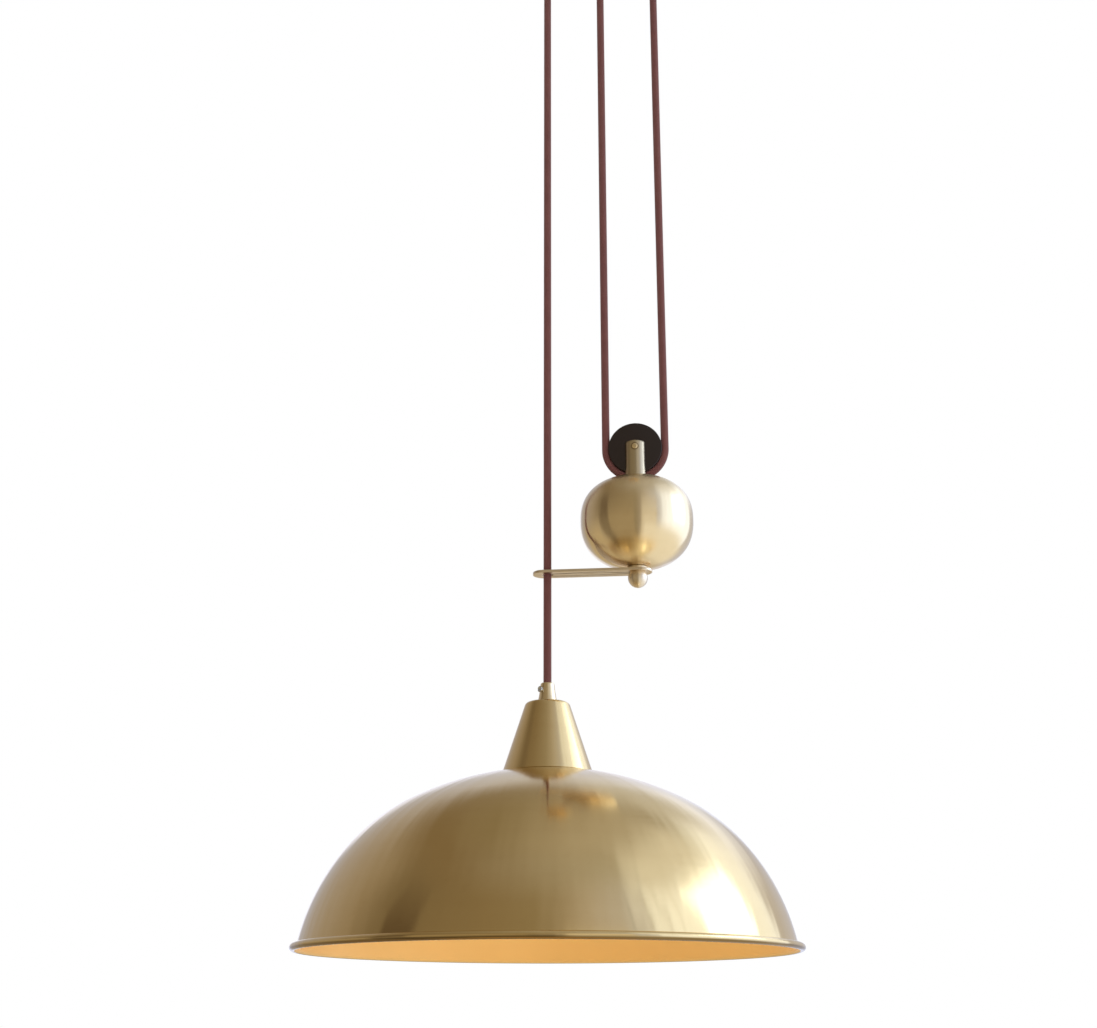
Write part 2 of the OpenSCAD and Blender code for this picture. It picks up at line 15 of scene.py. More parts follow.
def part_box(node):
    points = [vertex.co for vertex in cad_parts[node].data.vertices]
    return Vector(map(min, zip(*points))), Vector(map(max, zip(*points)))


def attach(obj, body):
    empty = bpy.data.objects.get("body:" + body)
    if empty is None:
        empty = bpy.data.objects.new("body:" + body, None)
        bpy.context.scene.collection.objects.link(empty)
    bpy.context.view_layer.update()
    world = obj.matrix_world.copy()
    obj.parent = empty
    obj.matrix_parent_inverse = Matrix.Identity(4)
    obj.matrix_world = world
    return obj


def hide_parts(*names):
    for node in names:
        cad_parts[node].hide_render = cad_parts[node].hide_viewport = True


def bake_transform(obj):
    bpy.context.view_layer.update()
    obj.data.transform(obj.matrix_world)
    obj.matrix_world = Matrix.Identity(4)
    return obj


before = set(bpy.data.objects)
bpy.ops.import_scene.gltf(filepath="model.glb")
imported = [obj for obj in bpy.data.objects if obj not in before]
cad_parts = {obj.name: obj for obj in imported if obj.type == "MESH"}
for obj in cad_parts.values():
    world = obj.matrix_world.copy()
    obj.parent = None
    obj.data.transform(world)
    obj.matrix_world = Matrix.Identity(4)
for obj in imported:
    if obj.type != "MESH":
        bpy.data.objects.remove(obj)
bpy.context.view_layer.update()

bl_info = {
    "name": "Rise and fall pendant",
    "version": (1, 0, 0),
    "blender": (4, 5, 0),
    "location": "3D View > Sidebar > Pendant",
    "description": "Builds the pieces, finishes and studio of a rise and fall pendant",
    "category": "Add Mesh",
}

# ---- places, read from the packed frame ----


def middle(node):
    """Middle of a CAD node's box."""
    low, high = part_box(node)
    return (low + high) / 2


LAMP_X = middle("flex_lamp_run").x
WEIGHT_X = middle("weight_core").x
ANCHOR_X = middle("flex_anchor_run").x
UPPER_X = middle("upper_axle").x
RUN_X = middle("flex_weight_run").x
RIM_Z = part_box("shade")[0].z
UPPER_Z = middle("upper_axle").z
LOWER_Z = middle("lower_axle").z
GRIP_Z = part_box("lamp_grip")[0].z
TAIL_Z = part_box("flex_lamp_tail")[0].z
ANCHOR_TAIL_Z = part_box("flex_anchor_tail")[1].z
CUP_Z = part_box("ceiling_cup")[0].z
PITCH_R = RUN_X - UPPER_X
FULL_TURN = 2 * math.pi

# holes that the counterweight's rod goes through, that it screws into, and for an M10 tube
ROD_LOOSE_R, ROD_TIGHT_R, TUBE_HOLE_R = 0.0041, 0.00405, 0.0052


# ---- settings that a user may change ----


def number(name, description, default, **more):
    """A number property."""
    return bpy.props.FloatProperty(name=name, description=description, default=default, **more)


def size(name, description, default):
    """A length property in metres."""
    return number(name, description, default, unit="LENGTH", precision=4)


def turn(name, description, degrees):
    """An angle property, given here in degrees."""
    return number(name, description, math.radians(degrees), unit="ROTATION")


def tint(name, description, default):
    """A colour property."""
    return bpy.props.FloatVectorProperty(
        name=name, description=description, default=default, size=3, min=0, max=1,
        subtype="COLOR",
    )


class PendantShadeSizes(bpy.types.PropertyGroup):
    """Sizes of the spun dome and of the cone above it."""

    dome_h: size("Dome height", "Height of the dome above its rim", 0.1483)
    crown_r: size("Crown radius", "Radius of the crown arc", 0.259)
    crown_end: turn("Crown end", "Angle from the axis at which the crown arc ends", 26.9)
    shoulder_r: size("Shoulder radius", "Radius of the shoulder arc", 0.1555)
    shoulder_end: turn("Shoulder end", "Angle at which the shoulder arc ends", 55.7)
    flank_r: size("Flank radius", "Radius of the arc that runs down to the rim", 0.1745)
    wall: size("Sheet", "Thickness of the spun sheet", 0.0007)
    bead_r: size("Bead radius", "Radius of the bead rolled at the rim", 0.003)
    bead_turn: turn("Bead turn", "Angle that the sheet turns through in the bead", 308)
    hole_r: size("Hole radius", "Radius of the hole for the lampholder", 0.0202)
    cone_top: size("Cone top", "Top of the cone above the rim", 0.2064)
    cone_foot: size("Cone foot", "Foot of the cone above the rim", 0.1457)
    cone_top_r: size("Cone top radius", "Radius at the top before rounding", 0.0187)
    cone_foot_r: size("Cone foot radius", "Radius at the foot", 0.0386)
    cone_corner: size("Cone corner", "Radius of the rounded top corner", 0.004)
    cone_wall: size("Cone sheet", "Thickness of the cone's sheet", 0.001)


class PendantWeightSizes(bpy.types.PropertyGroup):
    """Sizes of the counterweight, its ball and the spreader arm."""

    body_r: size("Body radius", "Radius of the body at its widest", 0.050)
    upper_h: size("Upper height", "Height of the body above its widest place", 0.0394)
    lower_h: size("Lower height", "Height of the body below its widest place", 0.0425)
    upper_power: number("Upper fullness", "Fullness above; 2 is an ellipse", 2.45)
    lower_power: number("Lower fullness", "Fullness below; 2 is an ellipse", 2.33)
    neck_r: size("Neck radius", "Radius of the hole that the fork goes into", 0.01035)
    foot_r: size("Foot radius", "Radius of the hole for the tie rod", 0.0043)
    ball_r: size("Ball radius", "Radius of the ball nut", 0.0087)
    ball_top: size("Ball top", "Height of the ball's flat top above its middle", 0.005)
    arm_w: size("Arm width", "Width of the flat arm", 0.0195)
    arm_end: size("Arm end", "Length of the arm past the middle of each hole", 0.0128)
    arm_hole_r: size("Eye hole", "Radius of the hole that the flex runs through", 0.005)
    washer_r: size("Washer radius", "Radius of the washer over the arm", 0.009)


class PendantPulleySizes(bpy.types.PropertyGroup):
    """Sizes of the sheaves, forks and flex."""

    flex_d: size("Flex", "Diameter of the braided flex", 0.007)
    flange_r: size("Flange radius", "Radius of a sheave's flanges", 0.024)
    sheave_w: size("Sheave width", "Width of a sheave", 0.010)
    groove_r: size("Groove radius", "Radius of the groove for the flex", 0.0038)
    fork_r: size("Fork radius", "Radius of the slotted rod", 0.0103)
    fork_tip: size("Fork tip", "Length of the fork past its axle", 0.0065)
    axle_r: size("Axle radius", "Radius of an axle", 0.002)


class PendantTints(bpy.types.PropertyGroup):
    """Base colours of the finishes."""

    brass: tint("Brass", "Clean satin brass", (0.84, 0.645, 0.335))
    brass_pale: tint("Pale brass", "Brass of the weight and small fittings", (0.96, 0.80, 0.53))
    brass_dull: tint("Dull brass", "Brass of the arm and the ball", (0.93, 0.82, 0.66))
    brass_grey: tint("Grey brass", "Brass of the forks", (0.64, 0.56, 0.41))
    brass_worn: tint("Worn brass", "Brass that has begun to darken", (0.62, 0.41, 0.175))
    # painted shade: the dark brass put under the dome's rolled bead and round the sheave pins'
    # heads
    painted_shade: tint("Tarnish", "Dark brass where dirt gathers", (0.16, 0.085, 0.022))
    # painted light: the inside of the dome gets this brighter, more orange tint as a glow of
    # reflected light
    painted_inside_glow: tint("Inside", "Golden lacquer inside the dome", (0.88, 0.56, 0.185))
    steel: tint("Zinc", "Zinc plated steel", (0.62, 0.63, 0.64))
    iron: tint("Iron", "Cast iron of the core", (0.11, 0.11, 0.115))
    sheave: tint("Sheave", "Black moulded sheave", (0.019, 0.0088, 0.0068))
    braid: tint("Braid", "Dark red yarn of the flex", (0.130, 0.026, 0.025))
    # also the colour of the yarns' painted lighter middles
    braid_light: tint("Braid fleck", "Lighter yarn of the flex", (0.290, 0.095, 0.080))
    porcelain: tint("Porcelain", "Glazed insert of the lampholder", (0.83, 0.80, 0.73))
    terminal: tint("Terminal block", "White moulded terminal block", (0.78, 0.77, 0.72))
    core: tint("Wire sleeve", "Sleeves of the flex's wires", (0.22, 0.07, 0.03))
    floor: tint("Floor", "Pale studio floor", (0.92, 0.92, 0.91))


class PendantStudio(bpy.types.PropertyGroup):
    """Camera and light."""

    distance: size("Camera distance", "Level distance from the lamp's axis", 1.289)
    below_rim: size("Camera drop", "Camera below the shade's rim", 0.059)
    aside: turn("Camera side", "Angle by which the camera stands towards the weight", 6)
    heading: turn("Heading", "Small turn of the camera off the lamp's axis", -0.04)
    pitch: turn("Camera pitch", "Angle at which the camera looks up", 18.7)
    lens: number("Lens", "Focal length on a 36 mm wide sensor", 50, unit="CAMERA")
    floor_z: size("Floor", "Height of the studio floor under the ceiling", -2.6)
    backdrop: number("Backdrop", "Brightness of the plain backdrop", 1.0, min=0)
    bulb_power: number("Bulb", "Power of the light inside the shade", 0.36, unit="POWER")


def settings(name):
    """One of the scene's property groups."""
    return getattr(bpy.context.scene, name)


# ---- node materials ----


class Signal:
    """The output of a shader node, which can be used in sums like a number."""

    def __init__(self, tree, socket):
        self.tree, self.socket = tree, socket

    def math(self, operation, *others):
        """A Math node on this value and the others."""
        return self.tree.node("ShaderNodeMath", (self, *others), operation=operation)

    def __add__(self, other):
        return self.math("ADD", other)

    def __sub__(self, other):
        return self.math("SUBTRACT", other)

    def __rsub__(self, other):
        return self.tree.node("ShaderNodeMath", (other, self), operation="SUBTRACT")

    def __mul__(self, other):
        return self.math("MULTIPLY", other)

    def __truediv__(self, other):
        return self.math("DIVIDE", other)

    def __pow__(self, other):
        return self.math("POWER", other)

    def __gt__(self, other):
        return self.math("GREATER_THAN", other)

    __radd__, __rmul__ = __add__, __mul__


class Nodes:
    """A node tree that is filled one call at a time."""

    def __init__(self, owner):
        self.owner = owner
        owner.use_nodes = True
        self.tree = owner.node_tree
        self.tree.nodes.clear()

    def node(self, kind, values=(), output=0, **choices):
        """Adds a node: its choices are set first, then its sockets' values or links."""
        made = self.tree.nodes.new(kind)
        for key, value in choices.items():
            if key == "stops":
                ramp = made.color_ramp.elements
                while len(ramp) < len(value):
                    ramp.new(1)
                for element, (position, colour) in zip(ramp, value):
                    element.position, element.color = position, (*colour, 1)
            else:
                setattr(made, key, value)
        pairs = values.items() if isinstance(values, dict) else enumerate(values)
        for key, value in pairs:
            if isinstance(value, Signal):
                self.tree.links.new(value.socket, made.inputs[key])
            elif value is not None:
                made.inputs[key].default_value = value
        return Signal(self, made.outputs[output]) if made.outputs else None

    def split(self, vector):
        """The three parts of a vector."""
        first = self.node("ShaderNodeSeparateXYZ", (vector,))
        return [Signal(self, out) for out in first.socket.node.outputs]

    def join(self, x, y, z):
        """A vector from three parts."""
        return self.node("ShaderNodeCombineXYZ", (x, y, z))

    def between(self, value, low, high, to_low=0.0, to_high=1.0):
        """Maps low..high to to_low..to_high, and clamps what lies outside."""
        return self.node("ShaderNodeMapRange", (value, low, high, to_low, to_high))

    def mix(self, factor, first, second, how="MIX"):
        """Mixes two colours, each a link or three numbers."""
        first, second = (c if isinstance(c, Signal) else (*c, 1) for c in (first, second))
        return self.node(
            "ShaderNodeMix", {0: factor, 6: first, 7: second}, 2, data_type="RGBA", blend_type=how
        )

    def drift(self, value, low, high, most, first, second):
        """A colour that drifts to a second one, by most at the most, as value rises."""
        return self.mix(self.between(value, low, high, 0.0, most), first, second)


class Finish(Nodes):
    """A material."""

    def __init__(self, name):
        super().__init__(bpy.data.materials.new(name))

    def place(self, centre=(0, 0, 0)):
        """Object coordinates measured from centre."""
        seen = self.node("ShaderNodeTexCoord", output="Object")
        return self.node("ShaderNodeMapping", {"Vector": seen, "Location": [-c for c in centre]})

    def about(self, centre):
        """Place, x, y, z and radius, measured from the upright axis through centre."""
        place = self.place(centre)
        x, y, z = self.split(place)
        return place, x, y, z, (x * x + y * y + 1e-9) ** 0.5

    def noise(self, vector, scale, detail, w=None):
        """Smooth noise from 0 to 1, in three or four dimensions."""
        values = {"Vector": vector, "W": w, "Scale": scale, "Detail": detail, "Roughness": 0.55}
        dimensions = "3D" if w is None else "4D"
        return self.node("ShaderNodeTexNoise", values, noise_dimensions=dimensions)

    def bump(self, height, distance, under=None):
        """A bump of the given depth in metres, on top of the one under it."""
        values = {"Height": height, "Distance": distance, "Strength": 1.0, "Normal": under}
        return self.node("ShaderNodeBump", values)

    def done(self, **values):
        """Closes the material with a Principled shader."""
        named = {key.replace("_", " "): value for key, value in values.items()}
        shader = self.node("ShaderNodeBsdfPrincipled", named)
        self.node("ShaderNodeOutputMaterial", {"Surface": shader})
        return self.owner


def satin_brass(name, centre, lines=900.0, depth=1.0, worn=0.35, rough=0.24, sheen=0.9,
                flutes=0.0, painted_shade=0.0, tone="brass", pin=0.0):
    """Brass turned or spun about the upright axis through centre.

    lines is the number of turning lines to the metre, depth scales their height and worn is
    how far the colour drifts towards the darker tint. flutes is the height of the faint
    ripples that spinning leaves from top to bottom. Below the height given for painted shade,
    measured from centre, the brass is painted dark as shade under the dome's rolled bead. tone
    names the tint of the clean brass. Where a pin of the radius pin crosses at centre, along Y,
    a ring round its head is painted dark as shade.
    """
    tints = settings("pendant_tints")
    clean = getattr(tints, tone)
    aged = [0.55 * a + 0.45 * b for a, b in zip(clean, tints.brass_worn)]
    finish = Finish(name)
    place, x, y, z, radius = finish.about(centre)
    ring = finish.join(x / radius, y / radius, radius * lines)
    fine = finish.noise(ring, 1.0, 3.0, w=z * lines)
    wide = lines * 0.09
    ring = finish.join(x / radius * 0.4, y / radius * 0.4, radius * wide)
    band = finish.noise(ring, 1.0, 2.0, w=z * wide)
    cloud = finish.noise(place, 9.0, 3.0)
    fleck = finish.noise(place, 130.0, 4.0)
    colour = finish.drift(cloud * 0.6 + band * 0.4, 0.38, 0.68, worn, clean, aged)
    colour = finish.drift(fleck, 0.55, 0.75, 0.22, colour, aged)
    roughness = finish.between(cloud + fine * 0.5, 0.5, 1.0, rough - 0.03, rough + 0.05)
    # painted shade: the brass is darkened below a height, for the shade under the dome's rolled
    # bead
    if painted_shade:
        dark = finish.between(z, painted_shade * 0.55, painted_shade, 0.85, 0.0)
        colour = finish.mix(dark, colour, tints.painted_shade)
    # painted shade: a dark ring on the fork's cheek round the pin's head
    if pin:
        off = (x * x + z * z) ** 0.5
        outside = finish.between(off, pin * 0.85, pin * 1.0)
        shading = finish.between(off, pin * 1.5, pin * 1.15) * outside
        colour = finish.mix(shading * 0.8, colour, tints.painted_shade)
    waves = finish.noise(finish.join(x, y, z * 0.35), 22.0, 1.0)
    normal = finish.bump(waves, 0.00022 * depth)
    if flutes:
        ripple = finish.noise(finish.join(x / radius * 13, y / radius * 13, z * 9), 1.0, 1.0)
        normal = finish.bump(ripple, flutes, normal)
    normal = finish.bump(fine, 0.000007 * depth, normal)
    return finish.done(
        Base_Color=colour, Metallic=1.0, Roughness=roughness, Normal=normal,
        Anisotropic=sheen, Anisotropic_Rotation=0.25,
    )


def brushed_metal(name, colour, dark, along, rough=0.3):
    """Brushed metal: along is its grain on x, y and z, with small numbers where it is long."""
    finish = Finish(name)
    place = finish.place()
    x, y, z = finish.split(place)
    grain = finish.noise(finish.join(x * along[0], y * along[1], z * along[2]), 1.0, 3.0)
    cloud = finish.noise(place, 60.0, 3.0)
    return finish.done(
        Base_Color=finish.drift(cloud, 0.4, 0.7, 0.5, colour, dark), Metallic=1.0,
        Roughness=finish.between(grain + cloud, 0.7, 1.3, rough - 0.06, rough + 0.1),
        Normal=finish.bump(grain, 0.00003),
    )


def moulded(name, colour, rough, grain=0.00002, coat=0.0):
    """Moulded or glazed material with a faint grain."""
    finish = Finish(name)
    place = finish.place()
    pores = finish.noise(place, 900.0, 2.0)
    cloud = finish.noise(place, 40.0, 3.0)
    tone = finish.drift(cloud, 0.35, 0.7, 0.35, colour, [c * 0.72 for c in colour])
    return finish.done(
        Base_Color=tone, Roughness=finish.between(cloud, 0.3, 0.7, rough - 0.05, rough + 0.08),
        Normal=finish.bump(pores, grain), Coat_Weight=coat, Coat_Roughness=0.08,
    )


def cast_metal(name, colour):
    """Rough cast metal."""
    finish = Finish(name)
    place = finish.place()
    sand = finish.noise(place, 420.0, 5.0)
    cloud = finish.noise(place, 45.0, 3.0)
    tone = finish.drift(cloud, 0.4, 0.7, 1.0, colour, [c * 1.9 for c in colour])
    return finish.done(
        Base_Color=tone, Metallic=0.7, Roughness=finish.between(sand, 0.3, 0.7, 0.55, 0.8),
        Normal=finish.bump(sand, 0.0004),
    )


STRANDS = 10


def braided(name, run_x):
    """Round braid of a flex whose straight run stands at run_x.

    On the run the weave reads the place, so it keeps its size when the run gets longer. On
    a half turn it reads the lay attribute, which holds the place round and along the flex.
    """
    tints = settings("pendant_tints")
    girth = math.pi * settings("pendant_pulley").flex_d
    finish = Finish(name)
    x, y, z = finish.split(finish.place((run_x, 0, 0)))
    lay = finish.node("ShaderNodeAttribute", output="Vector", attribute_name="lay")
    side, front, along = finish.split(lay)
    bent = finish.node("ShaderNodeAttribute", output="Fac", attribute_name="bent") > 0.5
    across = bent * side + (1 - bent) * x
    facing = bent * front + (1 - bent) * y
    length = bent * along + (1 - bent) * z
    round_share = facing.math("ARCTAN2", across) / FULL_TURN + 0.5
    lift = length / girth
    rising = (round_share + lift) * STRANDS
    falling = (round_share - lift) * STRANDS
    parity = rising.math("FLOOR") + falling.math("FLOOR")
    over = (parity * 0.5).math("FRACT") > 0.25
    first, second = ((way.math("FRACT") * math.pi).math("SINE") for way in (rising, falling))
    yarn = over * first + (1 - over) * second
    fuzz = finish.noise(finish.place(), 1500.0, 2.0)
    drift = finish.noise(finish.place(), 55.0, 2.0)
    # painted shade: the yarn term makes each strand's middle lighter than its edges
    light = yarn * 0.6 + fuzz * 0.5 + drift * 0.3
    colour = finish.drift(light, 0.45, 1.15, 1.0, tints.braid, tints.braid_light)
    # painted shade: the gaps between the yarns are painted nearly black
    gap = finish.between(yarn, 0.0, 0.45, 0.75, 0.0)
    colour = finish.mix(gap, colour, (0.008, 0.003, 0.003))
    normal = finish.bump(yarn ** 0.5, 0.00045)
    normal = finish.bump(fuzz, 0.00012, normal)
    return finish.done(
        Base_Color=colour, Roughness=finish.between(fuzz, 0.3, 0.7, 0.62, 0.85), Normal=normal,
        Sheen_Weight=0.25, Sheen_Roughness=0.4,
    )


# ---- mesh making ----


def stand(name, data):
    """Puts new data into the scene as an object."""
    made = bpy.data.objects.new(name, data)
    bpy.context.scene.collection.objects.link(made)
    return made


def solid(name, bm):
    """Puts a bmesh into the scene as an object."""
    mesh = bpy.data.meshes.new(name)
    bm.to_mesh(mesh)
    bm.free()
    return stand(name, mesh)


def verts_of(parts):
    """The vertices among what a bmesh operator gives back."""
    return [part for part in parts if isinstance(part, bmesh.types.BMVert)]


def piece(name, bm, body, replaces=(), corner=35, outward=True):
    """Turns a bmesh into a piece that rides on a body and stands for CAD nodes."""
    bmesh.ops.remove_doubles(bm, verts=bm.verts, dist=1e-7)
    if outward:
        bmesh.ops.recalc_face_normals(bm, faces=bm.faces)
    for face in bm.faces:
        face.smooth = True
    limit = math.radians(corner)
    for edge in bm.edges:
        if len(edge.link_faces) == 2 and edge.calc_face_angle(0) > limit:
            edge.smooth = False
    made = solid(name, bm)
    if body:
        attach(made, body)
    if replaces:
        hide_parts(*replaces)
    return made


def arc(centre, radius, start, end, count):
    """Points (radius, height) on an arc. Angles start at the axis and turn outwards."""
    angles = [start + (end - start) * i / count for i in range(count + 1)]
    return [
        (centre[0] + radius * math.sin(a), centre[1] + radius * math.cos(a)) for a in angles
    ]


def lathe(bm, outline, centre, steps=128, closed=True, rise=0.0, turns=1.0):
    """Spins an outline of (radius, height) points about the upright axis at centre.

    A closed outline joins its last point to its first. With a rise it becomes a screw.
    """
    base = Vector(centre)
    verts = [bm.verts.new(base + Vector((r, 0, h))) for r, h in outline]
    pairs = list(zip(verts, verts[1:])) + ([(verts[-1], verts[0])] if closed else [])
    edges = [bm.edges.new(pair) for pair in pairs]
    bmesh.ops.spin(
        bm, geom=verts + edges, cent=base, axis=(0, 0, 1), angle=FULL_TURN * turns,
        steps=int(steps * turns), use_merge=not rise, dvec=(0, 0, rise / steps),
    )
    bmesh.ops.remove_doubles(bm, verts=bm.verts, dist=1e-7)
    return bm


def aim(bm, verts, matrix):
    """Moves some vertices by a matrix."""
    bmesh.ops.transform(bm, matrix=matrix, verts=verts)


def paint(made, material):
    """Gives a piece its only material."""
    made.data.materials.clear()
    made.data.materials.append(material)


def turned_piece(name, outline, centre, body, replaces=(), steps=128, corner=35,
                 matrix=None, closed=True):
    """An outline spun into a piece, turned by a matrix and moved to its centre."""
    bm = lathe(bmesh.new(), outline, (0, 0, 0), steps, closed)
    aim(bm, bm.verts, Matrix.Translation(Vector(centre)) @ (matrix or Matrix()))
    return piece(name, bm, body, replaces, corner=corner)


def rounded(points, radius):
    """Rounds the corners of a closed (radius, height) outline, in three steps each."""
    made = []
    points = [Vector(point) for point in points]
    for before, here, after in zip(points[-1:] + points, points, points[1:] + points[:1]):
        room = min((before - here).length, (after - here).length) / 2
        if here.x < 1e-6 or room < 1e-7:
            made.append(tuple(here))
            continue
        cut = min(radius, room)
        one = here + (before - here).normalized() * cut
        two = here + (after - here).normalized() * cut
        for t in (0, 1 / 3, 2 / 3, 1):
            made.append(tuple((1 - t) ** 2 * one + 2 * t * (1 - t) * here + t * t * two))
    return made


def dress(material, *nodes):
    """Gives CAD nodes that stay a better material."""
    for name in nodes:
        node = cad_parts[name]
        for slot in node.material_slots:
            slot.material = material


def cut_away(made, cutters):
    """Cuts closed meshes, given as bmeshes, out of a piece."""
    for bm in cutters:
        bmesh.ops.recalc_face_normals(bm, faces=bm.faces)
        tool = solid("cutter", bm)
        cut = made.modifiers.new("cut", "BOOLEAN")
        cut.operation, cut.solver, cut.object = "DIFFERENCE", "EXACT", tool
        bpy.context.view_layer.update()
        graph = bpy.context.evaluated_depsgraph_get()
        result = bpy.data.meshes.new_from_object(made.evaluated_get(graph))
        made.modifiers.clear()
        result.name = made.data.name
        made.data = result
        bpy.data.objects.remove(tool)


def rod(radius, low, high, centre=(0, 0, 0), steps=48):
    """A closed upright cylinder as a bmesh."""
    outline = [(0, low), (radius, low), (radius, high), (0, high)]
    return lathe(bmesh.new(), outline, centre, steps, closed=False)


def block(low, high):
    """A closed box as a bmesh."""
    bm = bmesh.new()
    low, high = Vector(low), Vector(high)
    bmesh.ops.create_cube(bm, size=1)
    grow = Matrix.Diagonal((*(high - low), 1))
    aim(bm, bm.verts, Matrix.Translation((low + high) / 2) @ grow)
    return bm


def soften(made, width, angle, segments):
    """Small round edges on a finished piece."""
    bevel = made.modifiers.new("edges", "BEVEL")
    bevel.width, bevel.segments = width, segments
    bevel.limit_method, bevel.angle_limit = "ANGLE", math.radians(angle)


# ---- flex ----

FLEX_SIDES = 24
RING_GAP = 0.004
BEND_STEPS = 48


def flex_tube(run_x, z_low, z_high, bend):
    """A flex tube along an upright run, with a half turn round a sheave at one end.

    bend is (sheave's x, "over" or "under"), or None for a run without a half turn. Returns
    the bmesh and the path, from the foot of the run upwards, or on round the sheave.
    """
    radius = settings("pendant_pulley").flex_d / 2
    bm = bmesh.new()
    upwards = bend is None or bend[1] == "over"
    up = 1 if upwards else -1
    start, end = (z_low, z_high) if upwards else (z_high, z_low)
    count = max(2, round(abs(end - start) / RING_GAP))
    made = bmesh.ops.create_circle(
        bm, cap_ends=False, radius=radius, segments=FLEX_SIDES,
        matrix=Matrix.Translation((run_x, 0, start)),
    )
    first = list(made["verts"])
    ring_edges = list({e for v in first for e in v.link_edges})
    step = Vector((0, 0, (end - start) / count))
    path = [Vector((run_x, 0, start))]
    for _ in range(count):
        grown = bmesh.ops.extrude_edge_only(bm, edges=ring_edges)["geom"]
        verts = verts_of(grown)
        ring_edges = [
            e for e in grown if isinstance(e, bmesh.types.BMEdge)
            and e.verts[0] in verts and e.verts[1] in verts
        ]
        bmesh.ops.translate(bm, vec=step, verts=verts)
        path.append(path[-1] + step)
    last_ring = verts
    if bend:
        sheave_x = bend[0]
        centre = Vector((sheave_x, 0, end))
        reach = run_x - sheave_x
        sense = 1 if (reach > 0) == upwards else -1
        spun = bmesh.ops.spin(
            bm, geom=last_ring + ring_edges, cent=centre, axis=(0, -sense, 0),
            angle=math.pi, steps=BEND_STEPS,
        )["geom_last"]
        last_ring = verts_of(spun)
        for i in range(1, BEND_STEPS + 1):
            a = math.pi * i / BEND_STEPS
            path.append(
                centre + Vector((reach * math.cos(a), 0, up * abs(reach) * math.sin(a)))
            )
    for ring in (first, last_ring):
        bm.faces.new(ring)
    bmesh.ops.remove_doubles(bm, verts=bm.verts, dist=1e-7)
    bmesh.ops.recalc_face_normals(bm, faces=bm.faces)
    return bm, path


def mark_lay(made, run_x, bend, z_join):
    """Stores where each vertex lies round and along the flex, for the half turn's weave."""
    count = len(made.data.vertices)
    vectors, flags = [0.0] * (3 * count), [0.0] * count
    for vertex in made.data.vertices:
        x, y, z = vertex.co
        side, along, flag = x - run_x, z, 0.0
        if bend:
            sheave_x, way = bend
            up = 1 if way == "over" else -1
            past, reach = (z - z_join) * up, abs(run_x - sheave_x)
            sense = 1 if run_x > sheave_x else -1
            towards = (x - sheave_x) * sense
            if past > 1e-6 or towards < 0:
                swing = math.atan2(max(past, 0.0), towards)
                side = (math.hypot(towards, past) - reach) * sense
                along, flag = z_join + up * swing * reach, 1.0
        vectors[3 * vertex.index:3 * vertex.index + 3] = side, y, along
        flags[vertex.index] = flag
    for key, kind, field, values in (
        ("lay", "FLOAT_VECTOR", "vector", vectors), ("bent", "FLOAT", "value", flags)
    ):
        made.data.attributes.new(key, kind, "POINT").data.foreach_set(field, values)


def flex_piece(name, material_name, run_x, z_low, z_high, bend, nodes, exit_first):
    """One stretch of the flex, with its half turn if it has one.

    exit_first names the end that the path is turned to start from: "bend", or "run" for the
    foot of the run. The path is not used.
    """
    bm, path = flex_tube(run_x, z_low, z_high, bend)
    made = piece(name, bm, None, nodes, corner=60, outward=False)
    z_join = (z_high if bend[1] == "over" else z_low) if bend else 0.0
    mark_lay(made, run_x, bend, z_join)
    paint(made, braided(material_name, run_x))
    if exit_first == "bend":
        path = path[::-1]
    settings("pendant_pulley").flex_d
    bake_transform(made)


# ---- operators ----


class PendantOperator:
    """What the pendant's operators share."""

    bl_options = {"REGISTER", "UNDO"}


class PENDANT_OT_camera(PendantOperator, bpy.types.Operator):
    """Stands the camera where the photograph was taken"""

    bl_idname = "pendant.camera"
    bl_label = "Camera"

    def execute(self, context):
        """Makes the camera."""
        studio = settings("pendant_studio")
        camera = bpy.data.cameras.new("camera")
        camera.lens, camera.sensor_width, camera.sensor_fit = studio.lens, 36, "HORIZONTAL"
        camera.clip_start, camera.clip_end = 0.05, 60
        made = stand("camera", camera)
        side, reach = studio.aside, studio.distance
        made.location = (
            LAMP_X + reach * math.sin(side), -reach * math.cos(side), RIM_Z - studio.below_rim
        )
        made.rotation_euler = (math.pi / 2 + studio.pitch, 0, side + studio.heading)
        context.scene.camera = made
        return {"FINISHED"}


class PENDANT_OT_flex(PendantOperator, bpy.types.Operator):
    """Makes the flex: three stretches that meet end to end"""

    bl_idname = "pendant.flex"
    bl_label = "Flex"

    def execute(self, context):
        """Makes the three stretches and their half turns."""
        def at(x, z):
            """A place in the plane of the cords."""
            return Vector((x, 0, z))

        flex_piece(
            "flex_to_lamp", "flex_braid_lamp", LAMP_X, TAIL_Z, UPPER_Z, (UPPER_X, "over"),
            ("flex_upper_wrap", "flex_lamp_run", "flex_lamp_tail"), "bend",
        )
        flex_piece(
            "flex_to_weight", "flex_braid_weight", RUN_X, LOWER_Z, UPPER_Z, (WEIGHT_X, "under"),
            ("flex_weight_run", "flex_lower_wrap"), "run",
        )
        flex_piece(
            "flex_to_anchor", "flex_braid_anchor", ANCHOR_X, LOWER_Z, ANCHOR_TAIL_Z, None,
            ("flex_anchor_run", "flex_anchor_tail"), "run",
        )
        return {"FINISHED"}


